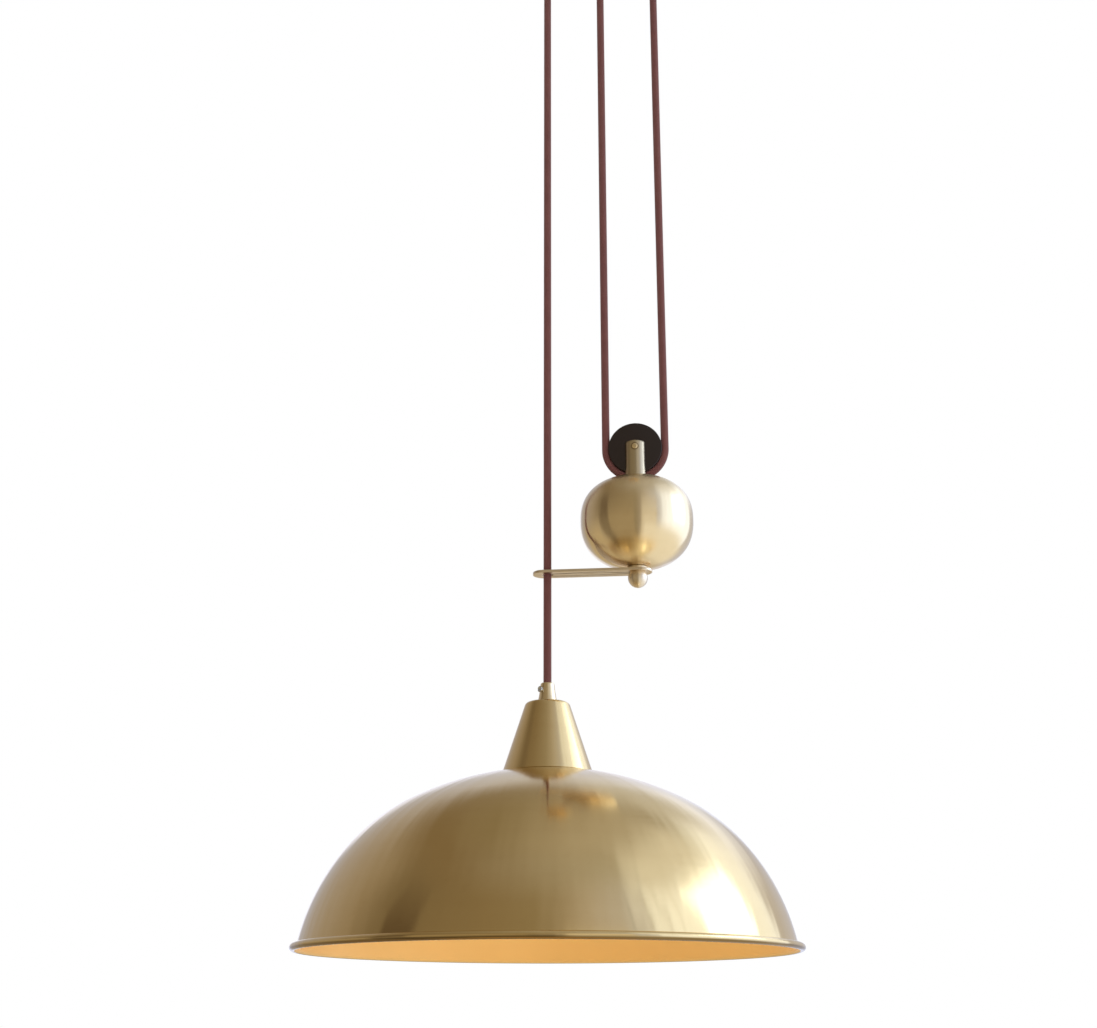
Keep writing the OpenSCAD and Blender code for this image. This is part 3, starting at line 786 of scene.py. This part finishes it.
class PENDANT_OT_shade(PendantOperator, bpy.types.Operator):
    """Spins the dome, with its rolled bead, and the cone above it"""

    bl_idname = "pendant.shade"
    bl_label = "Dome and cone"

    def execute(self, context):
        """Makes both pieces and their brass."""
        s = settings("pendant_shade")
        axis = (LAMP_X, 0, RIM_Z)
        crown = (0.0, s.dome_h - s.crown_r)
        shoulder = self.next_centre(crown, s.crown_r - s.shoulder_r, s.crown_end)
        flank = self.next_centre(shoulder, s.shoulder_r - s.flank_r, s.shoulder_end)
        reach = s.flank_r - s.wall + s.bead_r
        flank_end = math.acos((s.bead_r - flank[1]) / reach)
        bead = self.next_centre(flank, reach, flank_end)

        curl = flank_end - math.pi

        def skin(inset):
            """The dome's section, from its hole to the end of its bead."""
            return (
                arc(crown, s.crown_r - inset, math.asin(s.hole_r / s.crown_r), s.crown_end, 20)
                + arc(shoulder, s.shoulder_r - inset, s.crown_end, s.shoulder_end, 16)[1:]
                + arc(flank, s.flank_r - inset, s.shoulder_end, flank_end, 24)[1:]
                + arc(bead, s.bead_r - s.wall + inset, curl, curl - s.bead_turn, 28)[1:]
            )

        dome = turned_piece(
            "dome", skin(0) + skin(s.wall)[::-1], axis, "lamp", ("shade",),
            steps=192, corner=50,
        )
        # the darkening below the bead's radius is painted shade under the rolled bead
        paint(dome, satin_brass(
            "brass_dome", axis, lines=700, rough=0.13, flutes=0.0003, painted_shade=s.bead_r
        ))
        # the faces inside the dome get a painted glow of reflected light
        self.line_inside(dome, axis, bead[0] - s.bead_r * 0.5)

        side = math.atan2(s.cone_top - s.cone_foot, s.cone_foot_r - s.cone_top_r)
        corner = (
            s.cone_top_r - s.cone_corner * math.tan(side / 2), s.cone_top - s.cone_corner
        )
        inner = s.cone_wall / math.sin(side)
        edge = 0.0003
        bow = arc(corner, s.cone_corner, 0, side, 14)
        foot = (s.cone_foot_r, s.cone_foot + edge)
        cone_line = (
            [(TUBE_HOLE_R, s.cone_top)] + bow + self.steps_between(bow[-1], foot, 24)
            + [foot, (s.cone_foot_r - edge, s.cone_foot), (s.cone_foot_r - inner, s.cone_foot)]
            + arc(corner, s.cone_corner - s.cone_wall, side, 0, 8)
            + [(TUBE_HOLE_R, s.cone_top - s.cone_wall)]
        )
        cone = turned_piece(
            "cone", cone_line, axis, "lamp", ("shade_cone",), steps=160
        )
        paint(cone, satin_brass(
            "brass_cone", axis, lines=1100, depth=0.6, rough=0.17, flutes=0.00003
        ))
        return {"FINISHED"}

    @staticmethod
    def line_inside(dome, axis, bead_at):
        """Gives the faces inside the dome, nearer the axis than the bead, a painted glow:
        a brighter golden colour that stands for light reflected inside the dome.
        """
        dome.data.materials.append(painted_glow_lining("brass_dome_inside", axis))
        for face in dome.data.polygons:
            off = face.center - Vector(axis)
            inwards = off.x * face.normal.x + off.y * face.normal.y < 0
            near = math.hypot(off.x, off.y) < bead_at
            if near and (inwards or face.normal.z < -0.3):
                face.material_index = 1

    @staticmethod
    def next_centre(centre, step, angle):
        """The centre of an arc that goes on from another one at that angle."""
        return (centre[0] + step * math.sin(angle), centre[1] + step * math.cos(angle))

    @staticmethod
    def steps_between(first, last, count):
        """Points between two places, without the two."""
        return [
            tuple(a + (b - a) * i / count for a, b in zip(first, last))
            for i in range(1, count)
        ]


def painted_glow_lining(name, centre):
    """A warm golden lining for the inside of the dome, painted brighter and more orange
    than its brass as a glow of light reflected inside it, with faint rings from the spinning.
    """
    colour = settings("pendant_tints").painted_inside_glow
    finish = Finish(name)
    place, x, y, z, radius = finish.about(centre)
    ring = finish.noise(
        finish.join(x / radius * 0.6, y / radius * 0.6, radius * 500), 1.0, 2.0, w=z * 500
    )
    cloud = finish.noise(place, 11.0, 3.0)
    tone = finish.drift(cloud, 0.35, 0.7, 0.35, colour, [c * 0.86 for c in colour])
    return finish.done(
        Base_Color=tone, Metallic=0.2,
        Roughness=finish.between(cloud + ring * 0.5, 0.5, 1.0, 0.38, 0.5),
        Normal=finish.bump(ring, 0.00003),
    )


class PENDANT_OT_grips(PendantOperator, bpy.types.Operator):
    """Turns the two cord grips and their slotted screws"""

    bl_idname = "pendant.grips"
    bl_label = "Cord grips"

    def execute(self, context):
        """Makes a grip on the cone, and the same grip upside down under the ceiling cup."""
        flip = Matrix.Diagonal((1, 1, -1, 1))
        lamp = Matrix.Translation((LAMP_X, 0, GRIP_Z))
        anchor = Matrix.Translation((ANCHOR_X, 0, CUP_Z)) @ flip
        tints = settings("pendant_tints")
        steel = brushed_metal(
            "steel_grip_screw", tints.steel, (0.4, 0.4, 0.41), (900, 900, 2500)
        )
        self.grip("lamp", "lamp", lamp, LAMP_X, steel)
        self.grip("anchor", "ceiling", anchor, ANCHOR_X, steel)
        return {"FINISHED"}

    @staticmethod
    def grip(which, body, place, axis_x, steel):
        """One grip and its screw."""
        top, bore = 0.0169, settings("pendant_pulley").flex_d / 2 + 0.0002
        foot_r, edge, round_r = 0.0091, 0.0004, 0.002
        outline = (
            [(bore, 0.0), (foot_r - 0.0003, 0.0), (foot_r, 0.0003), (foot_r, 0.0005)]
            + arc((foot_r, 0.0017), 0.0009, -math.pi, -math.pi / 2, 6)[1:]
            + [(0.0078, 0.0032), (0.0074, 0.0052), (0.0067, 0.0095), (0.0062, 0.0140)]
            + arc((0.0041, top - round_r), round_r, math.pi / 2, 0, 8)
            + [(bore + edge, top), (bore, top - edge)]
        )
        made = turned_piece(
            f"{which}_cord_grip", outline, (0, 0, 0), body,
            (f"{which}_grip",), steps=72, matrix=place,
        )
        centre = (axis_x, 0, place.translation.z)
        paint(made, satin_brass(
            f"brass_{which}_grip", centre, 2500, 0.3, rough=0.24, tone="brass_pale"
        ))

        head, shank, slot = 0.0026, 0.0015, 0.0004
        tip, seat, crown, slot_foot = 0.0036, 0.0074, 0.0089, 0.0083
        profile = rounded(
            [(0, tip), (shank, tip), (shank, seat), (head, seat), (head, crown), (0, crown)],
            0.0004,
        )
        screw = turned_piece(
            f"{which}_clamp_screw", profile, (0, 0, 0), None,
            (f"{which}_grip_screw",), steps=36, closed=False,
        )
        cut_away(screw, [block((-slot, -0.004, slot_foot), (slot, 0.004, 0.01))])
        height, heading = 0.0105, math.radians(-135)
        swing = (
            place @ Matrix.Translation((0, 0, height)) @ Matrix.Rotation(heading, 4, "Z")
            @ Matrix.Rotation(math.pi / 2, 4, "Y")
        )
        screw.data.transform(swing)
        if swing.determinant() < 0:
            screw.data.flip_normals()
        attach(screw, body)
        paint(screw, steel)


class PENDANT_OT_counterweight(PendantOperator, bpy.types.Operator):
    """Spins the counterweight's body and turns the ball nut under it"""

    bl_idname = "pendant.counterweight"
    bl_label = "Counterweight"

    def execute(self, context):
        """Makes the skin and the ball."""
        s = settings("pendant_weight")
        wide_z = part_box("weight_shell_upper")[0].z
        axis = (WEIGHT_X, 0, wide_z)
        wall = 0.0012

        def skin(inset, count):
            """The body's section, from the bottom hole to the top one."""
            upper, lower = (
                self.bulge(s.body_r - inset, height - inset, power, end_r, count)
                for height, power, end_r in (
                    (s.upper_h, s.upper_power, s.neck_r), (s.lower_h, s.lower_power, s.foot_r)
                )
            )
            return [(r, -h) for r, h in lower[::-1]] + upper[1:]

        outline = skin(0, 40) + skin(wall, 24)[::-1]
        body = turned_piece(
            "weight_body", outline, axis, "counterweight",
            ("weight_shell_upper", "weight_shell_lower"), steps=144, corner=55,
        )
        paint(body, satin_brass(
            "brass_weight", axis, lines=1300, depth=0.4, worn=0.3, rough=0.18, sheen=1.0,
            flutes=0.00003, tone="brass_pale",
        ))

        ball_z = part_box("spreader_arm")[0].z - s.ball_top
        bore_end = -0.004
        ball_line = (
            [(ROD_TIGHT_R, s.ball_top)]
            + arc((0, 0), s.ball_r, math.acos(s.ball_top / s.ball_r), math.pi - 0.02, 48)
            + [(0, -s.ball_r), (0, bore_end), (ROD_TIGHT_R, bore_end)]
        )
        ball = turned_piece(
            "ball_nut", ball_line, (WEIGHT_X, 0, ball_z), "counterweight",
            ("finial_ball",), steps=96,
        )
        paint(ball, satin_brass(
            "brass_ball", (WEIGHT_X, 0, ball_z), 2500, 0.3, rough=0.32, tone="brass_dull"
        ))
        return {"FINISHED"}

    @staticmethod
    def bulge(radius, height, power, end_r, count):
        """A quarter of a superellipse, from its widest place to where its radius is end_r."""
        stop = math.acos((end_r / radius) ** (power / 2))
        angles = [stop * i / count for i in range(count + 1)]
        return [
            (radius * math.cos(t) ** (2 / power), height * math.sin(t) ** (2 / power))
            for t in angles
        ]


class PENDANT_OT_arm(PendantOperator, bpy.types.Operator):
    """Makes the flat spreader arm with its eye for the flex"""

    bl_idname = "pendant.arm"
    bl_label = "Spreader arm"

    def execute(self, context):
        """Makes the arm from an outline with two holes."""
        s = settings("pendant_weight")
        low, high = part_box("spreader_arm")
        bm = bmesh.new()
        half, quarter = s.arm_w / 2, math.pi / 2
        past = s.arm_end - half

        def bow(x, radius, start, sweep, points):
            """Points on an arc of 64 steps about (x, 0)."""
            angles = [start + sweep * i / 64 for i in range(points)]
            return [(x + radius * math.cos(a), radius * math.sin(a)) for a in angles]

        left = bow(LAMP_X - past, half, quarter, math.pi, 65)
        right = bow(WEIGHT_X + past, half, -quarter, math.pi, 65)
        self.loop(bm, left + right, low.z)
        for x, radius in ((LAMP_X, s.arm_hole_r), (WEIGHT_X, ROD_LOOSE_R)):
            self.loop(bm, bow(x, radius, 0, FULL_TURN, 64), low.z)
        bmesh.ops.triangle_fill(bm, edges=bm.edges, use_beauty=True, use_dissolve=False)
        grown = bmesh.ops.extrude_face_region(bm, geom=bm.faces[:] + bm.edges[:])["geom"]
        bmesh.ops.translate(bm, vec=(0, 0, high.z - low.z), verts=verts_of(grown))
        made = piece(
            "spreader_bar", bm, "counterweight", ("spreader_arm",), corner=40
        )
        soften(made, 0.00035, 50, 3)
        brass = arm_brass("brass_arm")
        paint(made, brass)
        low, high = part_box("arm_washer")
        bore, thick = ROD_LOOSE_R, high.z - low.z
        rim = rounded(
            [(bore, 0), (s.washer_r, 0), (s.washer_r, thick), (bore, thick)], 0.0003
        )
        washer = turned_piece(
            "arm_spacer", rim, (WEIGHT_X, 0, low.z), "counterweight",
            ("arm_washer",), steps=96,
        )
        paint(washer, brass)
        return {"FINISHED"}

    @staticmethod
    def loop(bm, points, z):
        """A closed loop of edges."""
        verts = [bm.verts.new((x, y, z)) for x, y in points]
        for a, b in zip(verts, verts[1:] + verts[:1]):
            bm.edges.new((a, b))


def arm_brass(name):
    """Flat brass bar brushed along its length, browner than the spun pieces."""
    tints = settings("pendant_tints")
    finish = Finish(name)
    place = finish.place()
    x, y, z = finish.split(place)
    grain = finish.noise(finish.join(x * 60, y * 2600, z * 2600), 1.0, 3.0)
    cloud = finish.noise(place, 60.0, 3.0)
    colour = finish.drift(cloud, 0.35, 0.7, 0.28, tints.brass_dull, tints.brass_worn)
    return finish.done(
        Base_Color=colour, Metallic=1.0, Roughness=finish.between(grain, 0.3, 0.7, 0.27, 0.42),
        Normal=finish.bump(grain, 0.00004),
    )


class PENDANT_OT_pulleys(PendantOperator, bpy.types.Operator):
    """Makes the two sheaves, their forks and their riveted axles"""

    bl_idname = "pendant.pulleys"
    bl_label = "Sheaves and forks"

    def execute(self, context):
        """Makes the pulley block on the counterweight and the one under the ceiling."""
        s = settings("pendant_pulley")
        black = moulded("sheave_black", settings("pendant_tints").sheave, 0.42)
        foot_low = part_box("lower_fork")[0].z
        foot_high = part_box("upper_fork")[1].z
        for which, x, z, body in (
            ("upper", UPPER_X, UPPER_Z, "ceiling"),
            ("lower", WEIGHT_X, LOWER_Z, "counterweight"),
        ):
            self.sheave(s, which, x, z, black)
            self.axle(s, which, x, z, body)
        self.fork(s, "lower", WEIGHT_X, LOWER_Z, LOWER_Z - foot_low, "counterweight")
        self.fork(s, "upper", UPPER_X, UPPER_Z, foot_high - UPPER_Z, "ceiling")
        return {"FINISHED"}

    @staticmethod
    def sheave(s, which, x, z, black):
        """A grooved disc."""
        half, bore, corner = s.sheave_w / 2, s.axle_r + 0.00005, 0.0006
        lip = math.acos((PITCH_R - s.flange_r) / s.groove_r)
        edge = arc((s.flange_r - corner, half - corner), corner, 0, math.pi / 2, 6)
        swings = [lip * (1 - i / 12) for i in range(25)]
        groove = [
            (PITCH_R - s.groove_r * math.cos(a), s.groove_r * math.sin(a)) for a in swings
        ]
        outline = (
            [(bore, half)] + edge + groove + [(r, -h) for r, h in edge[::-1]] + [(bore, -half)]
        )
        made = turned_piece(
            f"{which}_wheel", outline, (x, 0, z), f"{which}_sheave",
            (f"{which}_sheave",), steps=144, matrix=Matrix.Rotation(math.pi / 2, 4, "X"),
        )
        paint(made, black)

    @staticmethod
    def axle(s, which, x, z, body):
        """A pin whose two ends are riveted over into low domes."""
        reach, head = s.fork_r + 0.0005, s.axle_r + 0.0006
        end = [
            (s.axle_r, s.fork_r), (head, s.fork_r), (head, s.fork_r + 0.00012),
            (head * 0.8, s.fork_r + 0.00036), (head * 0.45, s.fork_r + 0.00047), (0, reach),
        ]
        outline = [(r, -h) for r, h in end[::-1]] + end
        made = turned_piece(
            f"{which}_pin", outline, (x, 0, z), body, (f"{which}_axle",),
            steps=48, matrix=Matrix.Rotation(math.pi / 2, 4, "X"), closed=False,
        )
        paint(made, satin_brass(
            f"brass_{which}_pin", (x, 0, z), 2500, 0.1, rough=0.2, tone="brass_pale"
        ))

    @staticmethod
    def fork(s, which, x, z, length, body):
        """A round rod, slotted for its sheave and rounded over at its tip."""
        corner = 0.0025
        outline = (
            [(0, -length), (s.fork_r, -length)]
            + arc((s.fork_r - corner, s.fork_tip - corner), corner, math.pi / 2, 0, 10)
            + [(0, s.fork_tip)]
        )
        if which == "upper":
            plate, stud, seat, under, edge = 0.013, 0.005, 0.057, 0.0546, 0.0006
            outline = (
                [(0, -length), (stud, -length), (stud, -seat), (plate - edge, -seat),
                 (plate, edge - seat), (plate, -under - edge), (plate - edge, -under),
                 (s.fork_r, -under)] + outline[2:]
            )
        bm = lathe(bmesh.new(), outline, (0, 0, 0), 96, closed=False)
        made = piece(f"{which}_yoke", bm, None, (f"{which}_fork",))
        gap, reach = s.sheave_w / 2 + 0.0003, PITCH_R + s.flex_d / 2 + 0.0005
        clear, past, hole_depth = 0.02, 0.001, 0.012
        cut_away(made, [block((-clear, -gap, -reach), (clear, gap, clear))])
        if which == "lower":
            cut_away(made, [rod(ROD_TIGHT_R, -length - past, -length + hole_depth)])
        flip = Matrix.Rotation(math.pi, 4, "X") if which == "upper" else Matrix()
        made.data.transform(Matrix.Translation((x, 0, z)) @ flip)
        soften(made, 0.00025, 35, 2)
        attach(made, body)
        # the dark ring round the axle's head is painted shade
        paint(made, satin_brass(
            f"brass_{which}_yoke", (x, 0, z), 2200, 0.3, rough=0.33, tone="brass_grey",
            pin=s.axle_r + 0.0006,
        ))


class PENDANT_OT_ceiling_rose(PendantOperator, bpy.types.Operator):
    """Spins the ceiling cup and the two cap nuts under it"""

    bl_idname = "pendant.ceiling_rose"
    bl_label = "Ceiling rose"

    def execute(self, context):
        """Makes the cup and the two domed nuts."""
        wall, corner, lip = 0.001, 0.009, 0.0015
        low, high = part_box("ceiling_cup")
        radius, depth = (high.x - low.x) / 2 - lip, high.z - low.z
        turn_at = (radius - corner, corner - depth)
        outline = (
            [(radius + lip, -0.0001), (radius + lip, -wall + 0.0002),
             (radius + lip - 0.0003, -wall), (radius + 0.0004, -wall),
             (radius, -wall - 0.0004)]
            + arc(turn_at, corner, math.pi / 2, math.pi, 16)
            + [(0, -depth), (0, wall - depth)]
            + arc(turn_at, corner - wall, math.pi, math.pi / 2, 12)
            + [(radius - wall, 0.0), (radius + lip - 0.0001, 0.0)]
        )
        made = turned_piece(
            "cup", outline, (0, 0, 0), "ceiling", ("ceiling_cup",),
            steps=192, closed=False,
        )
        stud_r, stud_y = 0.0022, 0.05
        holes = (
            (UPPER_X, 0, TUBE_HOLE_R), (ANCHOR_X, 0, TUBE_HOLE_R), (0, stud_y, stud_r),
            (0, -stud_y, stud_r),
        )
        cut_away(made, [
            rod(r, -depth - 0.002, 0.004 - depth, (x, y, 0), 32) for x, y, r in holes
        ])
        paint(made, satin_brass("brass_cup", (0, 0, 0), 900, 0.6))

        nut, bore, dome, skirt, bore_end = 0.0055, 0.002, 0.0053, -0.004, -0.0085
        line = (
            [(bore, 0), (nut, 0), (nut, -0.0036), (dome, skirt)]
            + arc((0, skirt), dome, math.pi / 2, math.pi, 16)[1:]
            + [(0, bore_end), (bore, bore_end)]
        )
        for y, name in ((stud_y, "back"), (-stud_y, "front")):
            cap = turned_piece(
                f"cap_nut_{name}", line, (0, y, CUP_Z), "ceiling",
                ("canopy_cap_nuts",), steps=64,
            )
            paint(cap, satin_brass(f"brass_cap_{name}", (0, y, CUP_Z), 2500, 0.2, rough=0.2))
        return {"FINISHED"}


class PENDANT_OT_lampholder(PendantOperator, bpy.types.Operator):
    """Rolls the lampholder's screw shell"""

    bl_idname = "pendant.lampholder"
    bl_label = "Lampholder"

    def execute(self, context):
        """Makes the threaded shell that holds the bulb."""
        low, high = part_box("socket_shell")
        radius = (high.x - low.x) / 2
        pitch, depth, wall = 0.0036, 0.0009, 0.0004
        turns = (high.z - low.z - pitch) / pitch
        shares = [i / 24 for i in range(25)]
        line = [
            (radius - wall - depth * (0.5 - 0.5 * math.cos(FULL_TURN * t)), pitch * t)
            for t in shares
        ]
        bm = lathe(bmesh.new(), line, (LAMP_X, 0, low.z), 72, False, rise=pitch, turns=turns)
        made = piece("screw_shell", bm, "lamp", ("socket_shell",), corner=70)
        thick = made.modifiers.new("sheet", "SOLIDIFY")
        thick.thickness, thick.offset = wall * 0.8, 0
        steel = settings("pendant_tints").steel
        paint(made, brushed_metal(
            "nickel_shell", (0.72, 0.69, 0.62), steel, (300, 300, 1800), 0.22
        ))
        return {"FINISHED"}


class PENDANT_OT_fittings(PendantOperator, bpy.types.Operator):
    """Finishes the small parts that keep their CAD shapes"""

    bl_idname = "pendant.fittings"
    bl_label = "Small fittings"

    def execute(self, context):
        """Gives each kept CAD node its finish."""
        tints = settings("pendant_tints")
        dress(
            brushed_metal("zinc_steel", tints.steel, (0.42, 0.42, 0.40), (700, 700, 700), 0.36),
            "ceiling_bar", "canopy_studs", "stud_lock_nuts", "load_plate",
            "terminal_screws", "earth_screw", "upper_fork_washer", "upper_fork_nut",
            "anchor_grip_tube", "anchor_grip_nut", "threaded_tube", "tube_nut", "tie_rod",
            "lampholder_terminals",
        )
        dress(
            satin_brass(
                "brass_holder", (LAMP_X, 0, RIM_Z), 2200, 0.4, worn=0.2, rough=0.26
            ),
            "lampholder_cap", "lampholder_skirt", "shade_ring_upper", "shade_ring_lower",
            "centre_contact",
        )
        dress(cast_metal("iron_core", tints.iron), "weight_core")
        dress(moulded("white_block", tints.terminal, 0.4), "terminal_block")
        sleeve = moulded("wire_sleeve", tints.core, 0.4)
        dress(sleeve, "ceiling_flex_cores", "lamp_flex_cores")
        glaze = moulded("glazed_porcelain", tints.porcelain, 0.25, 0.000005, 0.6)
        dress(glaze, "lampholder_insert")
        return {"FINISHED"}


class PENDANT_OT_stage(PendantOperator, bpy.types.Operator):
    """Lays the pale floor and sets the studio light"""

    bl_idname = "pendant.stage"
    bl_label = "Studio"

    def execute(self, context):
        """Makes the floor, the room and the two lights."""
        studio = settings("pendant_studio")
        bm = bmesh.new()
        bmesh.ops.create_circle(bm, cap_ends=True, radius=14, segments=96)
        aim(bm, bm.verts, Matrix.Translation((0, 0, studio.floor_z)))
        floor = solid("floor", bm)
        floor.visible_glossy = False
        paint(floor, moulded("floor_pale", settings("pendant_tints").floor, 0.6))
        self.surround(studio)
        self.lamp(
            "window", degrees=92, rise=24, reach=2.6, area=(1.5, 1.1), glow=(1.4, 1.6, 1.9)
        )
        self.bulb(studio)
        context.scene.view_settings.view_transform = "Standard"
        return {"FINISHED"}

    @staticmethod
    def lamp(name, degrees, rise, reach, area, glow):
        """One soft rectangle of even brightness that faces the shade.

        degrees counts from the camera's side of the lamp towards the weight.
        """
        around = math.radians(degrees) + settings("pendant_studio").aside
        up = math.radians(rise)
        away = Vector((
            math.cos(up) * math.sin(around), -math.cos(up) * math.cos(around), math.sin(up)
        ))
        light = bpy.data.lights.new(name, "AREA")
        light.shape, light.size, light.size_y = "RECTANGLE", *area
        light.energy = max(glow) * math.pi * area[0] * area[1]
        light.color = [part / max(glow) for part in glow]
        made = stand(name, light)
        made.location = Vector((LAMP_X, 0, RIM_Z + 0.1)) + reach * away
        made.rotation_euler = away.to_track_quat("Z", "Y").to_euler()
        made.visible_camera = False

    @staticmethod
    def bulb(studio):
        """The warm light of a bulb in the lampholder."""
        below_shell = 0.045
        light = bpy.data.lights.new("bulb", "POINT")
        light.energy, light.color = studio.bulb_power, (1.0, 0.85, 0.60)
        light.shadow_soft_size = 0.03
        made = stand("bulb", light)
        made.location = (LAMP_X, 0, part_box("socket_shell")[0].z - below_shell)
        made.visible_camera = False
        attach(made, "lamp")

    @staticmethod
    def surround(studio):
        """A plain white backdrop to look at, and a softly graded room to be lit by.

        Angles run from the camera's side of the lamp towards the weight, in degrees, and
        heights are the sine of the angle above the level.
        """
        world = bpy.data.worlds.new("studio")
        bpy.context.scene.world = world
        room = Nodes(world)
        x, y, z = room.split(room.node("ShaderNodeTexCoord", output="Generated"))
        cos, sin = math.cos(studio.aside), math.sin(studio.aside)
        right, near = x * cos + y * sin, x * sin - y * cos
        front = right.math("ARCTAN2", near) * math.degrees(1)
        back = (right * -1.0).math("ARCTAN2", near * -1.0) * math.degrees(1)
        window_turn = math.radians(75)
        across = right * math.sin(window_turn) + near * math.cos(window_turn)

        def sideways(spread, dark, bright):
            """Grades a colour from the dark side of the room to the window's side."""
            return room.mix(room.between(across, -spread, spread), dark, bright)

        def beyond(tone, low, high, other):
            """Fades from one tone to another between two heights."""
            return room.mix(room.between(z, low, high), tone, other)

        def patch(tone, about, sides, soft, heights, fade, colour):
            """Lays a soft-edged patch of light or shade over the room."""
            inside = (
                room.between(about, sides[0] - soft, sides[0] + soft)
                * room.between(about, sides[1] + soft, sides[1] - soft)
                * room.between(z, heights[0] - fade, heights[0] + fade)
                * room.between(z, heights[1] + fade, heights[1] - fade)
            )
            return room.mix(inside, tone, colour)

        walls = (
            (-180, 0.66, 0.69, 0.82), (-160, 0.50, 0.51, 0.60), (-145, 0.43, 0.415, 0.45),
            (-125, 0.385, 0.35, 0.33), (-105, 0.33, 0.285, 0.235), (-88, 0.22, 0.18, 0.125),
            (-60, 0.23, 0.185, 0.122), (-30, 0.265, 0.215, 0.14), (-5, 0.30, 0.255, 0.175),
            (12, 0.41, 0.375, 0.33), (22, 0.50, 0.48, 0.48), (38, 0.56, 0.585, 0.69),
            (46, 0.74, 0.80, 0.98), (52, 1.02, 1.14, 1.40), (62, 1.18, 1.34, 1.68),
            (128, 1.18, 1.34, 1.68), (148, 1.05, 1.16, 1.45), (164, 1.00, 1.09, 1.35),
            (173, 0.76, 0.81, 1.00), (180, 0.66, 0.69, 0.82),
        )
        # the ramp holds half of each wall's brightness, and the mix after it doubles that
        stops = [(0.5 + at / 360, [part / 2 for part in colour]) for at, *colour in walls]
        tone = room.node("ShaderNodeValToRGB", (front / 360 + 0.5,), stops=stops)
        tone = room.mix(1.0, tone, (2, 2, 2), "MULTIPLY")
        bars = [
            (front, (at - 0.8, at + 0.8), 0.5, (0.3, 0.75), 0.1, (dim, dim * 1.07, dim * 1.24))
            for at, dim in ((42, 0.48), (48.5, 0.62), (58.5, 0.80), (67, 0.97))
        ]
        for spot in (
            # the dark doorway, the bars of the window, and the walls low down
            (front, (-82.5, -64), 1.2, (0.15, 0.56), 0.18, (0.125, 0.092, 0.06)),
            *bars,
            (front, (-62, -9), 1.5, (-2, 0.24), 0.12, (0.36, 0.295, 0.19)),
            (front, (-138, -84), 1.5, (-2, 0.10), 0.10, (0.42, 0.36, 0.26)),
            (front, (6, 38), 2.5, (-2, 0.36), 0.12, (0.71, 0.665, 0.57)),
            (front, (131, 166), 3.0, (-2, 0.40), 0.08, (0.59, 0.60, 0.68)),
            # the bright wall behind the lamp, low down
            (back, (-9, 18), 3.0, (-0.1, 0.36), 0.08, (0.98, 1.02, 1.22)),
            # the floor: pale by the window, brown behind the lamp
            (front, (13, 168), 3.0, (-2, -0.32), 0.12, (0.88, 0.86, 0.79)),
            (back, (-13, 88), 3.0, (-2, -0.16), 0.08, (0.50, 0.42, 0.28)),
        ):
            tone = patch(tone, *spot)
        # the upper room with two brighter places, the ceiling, and the floor under the lamp
        upper = sideways(0.5, (0.235, 0.185, 0.12), (0.46, 0.455, 0.43))
        tone = beyond(tone, 0.65, 0.82, upper)
        tone = patch(tone, front, (54, 118), 7.0, (0.66, 0.88), 0.07, (0.80, 0.84, 0.92))
        tone = patch(tone, front, (140, 172), 6.0, (0.58, 0.85), 0.08, (0.62, 0.64, 0.68))
        tone = beyond(tone, 0.86, 0.96, sideways(0.27, (0.27, 0.23, 0.16), (0.48, 0.46, 0.42)))
        tone = beyond(tone, -0.86, -0.97, (0.92, 0.70, 0.36))
        # what lights dull surfaces
        side = sideways(0.9, (0.14, 0.13, 0.12), (1.05, 1.03, 1.00))
        side = beyond(side, 0.35, 0.75, (1.0, 0.98, 0.95))
        side = beyond((0.46, 0.43, 0.38), -0.15, 0.10, side)
        dull = room.node("ShaderNodeLightPath", output="Is Diffuse Ray")
        lit = room.node("ShaderNodeBackground", (room.mix(dull, tone, side), 1.0))
        seen = room.node("ShaderNodeBackground", ((1, 1, 1, 1), studio.backdrop))
        eye = room.node("ShaderNodeLightPath", output="Is Camera Ray")
        both = room.node("ShaderNodeMixShader", (eye, lit, seen))
        room.node("ShaderNodeOutputWorld", {"Surface": both})


GROUPS = {
    "pendant_shade": PendantShadeSizes,
    "pendant_weight": PendantWeightSizes,
    "pendant_pulley": PendantPulleySizes,
    "pendant_tints": PendantTints,
    "pendant_studio": PendantStudio,
}
OPERATORS = (
    PENDANT_OT_camera, PENDANT_OT_flex, PENDANT_OT_shade, PENDANT_OT_grips,
    PENDANT_OT_counterweight, PENDANT_OT_arm, PENDANT_OT_pulleys, PENDANT_OT_ceiling_rose,
    PENDANT_OT_lampholder, PENDANT_OT_fittings, PENDANT_OT_stage,
)


class PENDANT_PT_panel(bpy.types.Panel):
    """Lists the pendant's pieces in the sidebar"""

    bl_idname = "PENDANT_PT_panel"
    bl_label = "Rise and fall pendant"
    bl_space_type = "VIEW_3D"
    bl_region_type = "UI"
    bl_category = "Pendant"

    def draw(self, context):
        """Draws a button for each piece and a box of settings for each group."""
        for operator in OPERATORS:
            self.layout.operator(operator.bl_idname)
        for name, group in GROUPS.items():
            box = self.layout.box()
            box.label(text=group.__doc__)
            for key in group.__annotations__:
                box.prop(getattr(context.scene, name), key)


def register():
    """Registers the groups, operators and panel."""
    for name, group in GROUPS.items():
        bpy.utils.register_class(group)
        setattr(bpy.types.Scene, name, bpy.props.PointerProperty(type=group))
    for item in (*OPERATORS, PENDANT_PT_panel):
        bpy.utils.register_class(item)


def unregister():
    """Takes back what register did."""
    for item in (PENDANT_PT_panel, *reversed(OPERATORS)):
        bpy.utils.unregister_class(item)
    for name, group in GROUPS.items():
        delattr(bpy.types.Scene, name)
        bpy.utils.unregister_class(group)


def main():
    """Builds everything in order."""
    register()
    for operator in OPERATORS:
        group, name = operator.bl_idname.split(".")
        getattr(getattr(bpy.ops, group), name)()


if __name__ == "__main__":
    main()
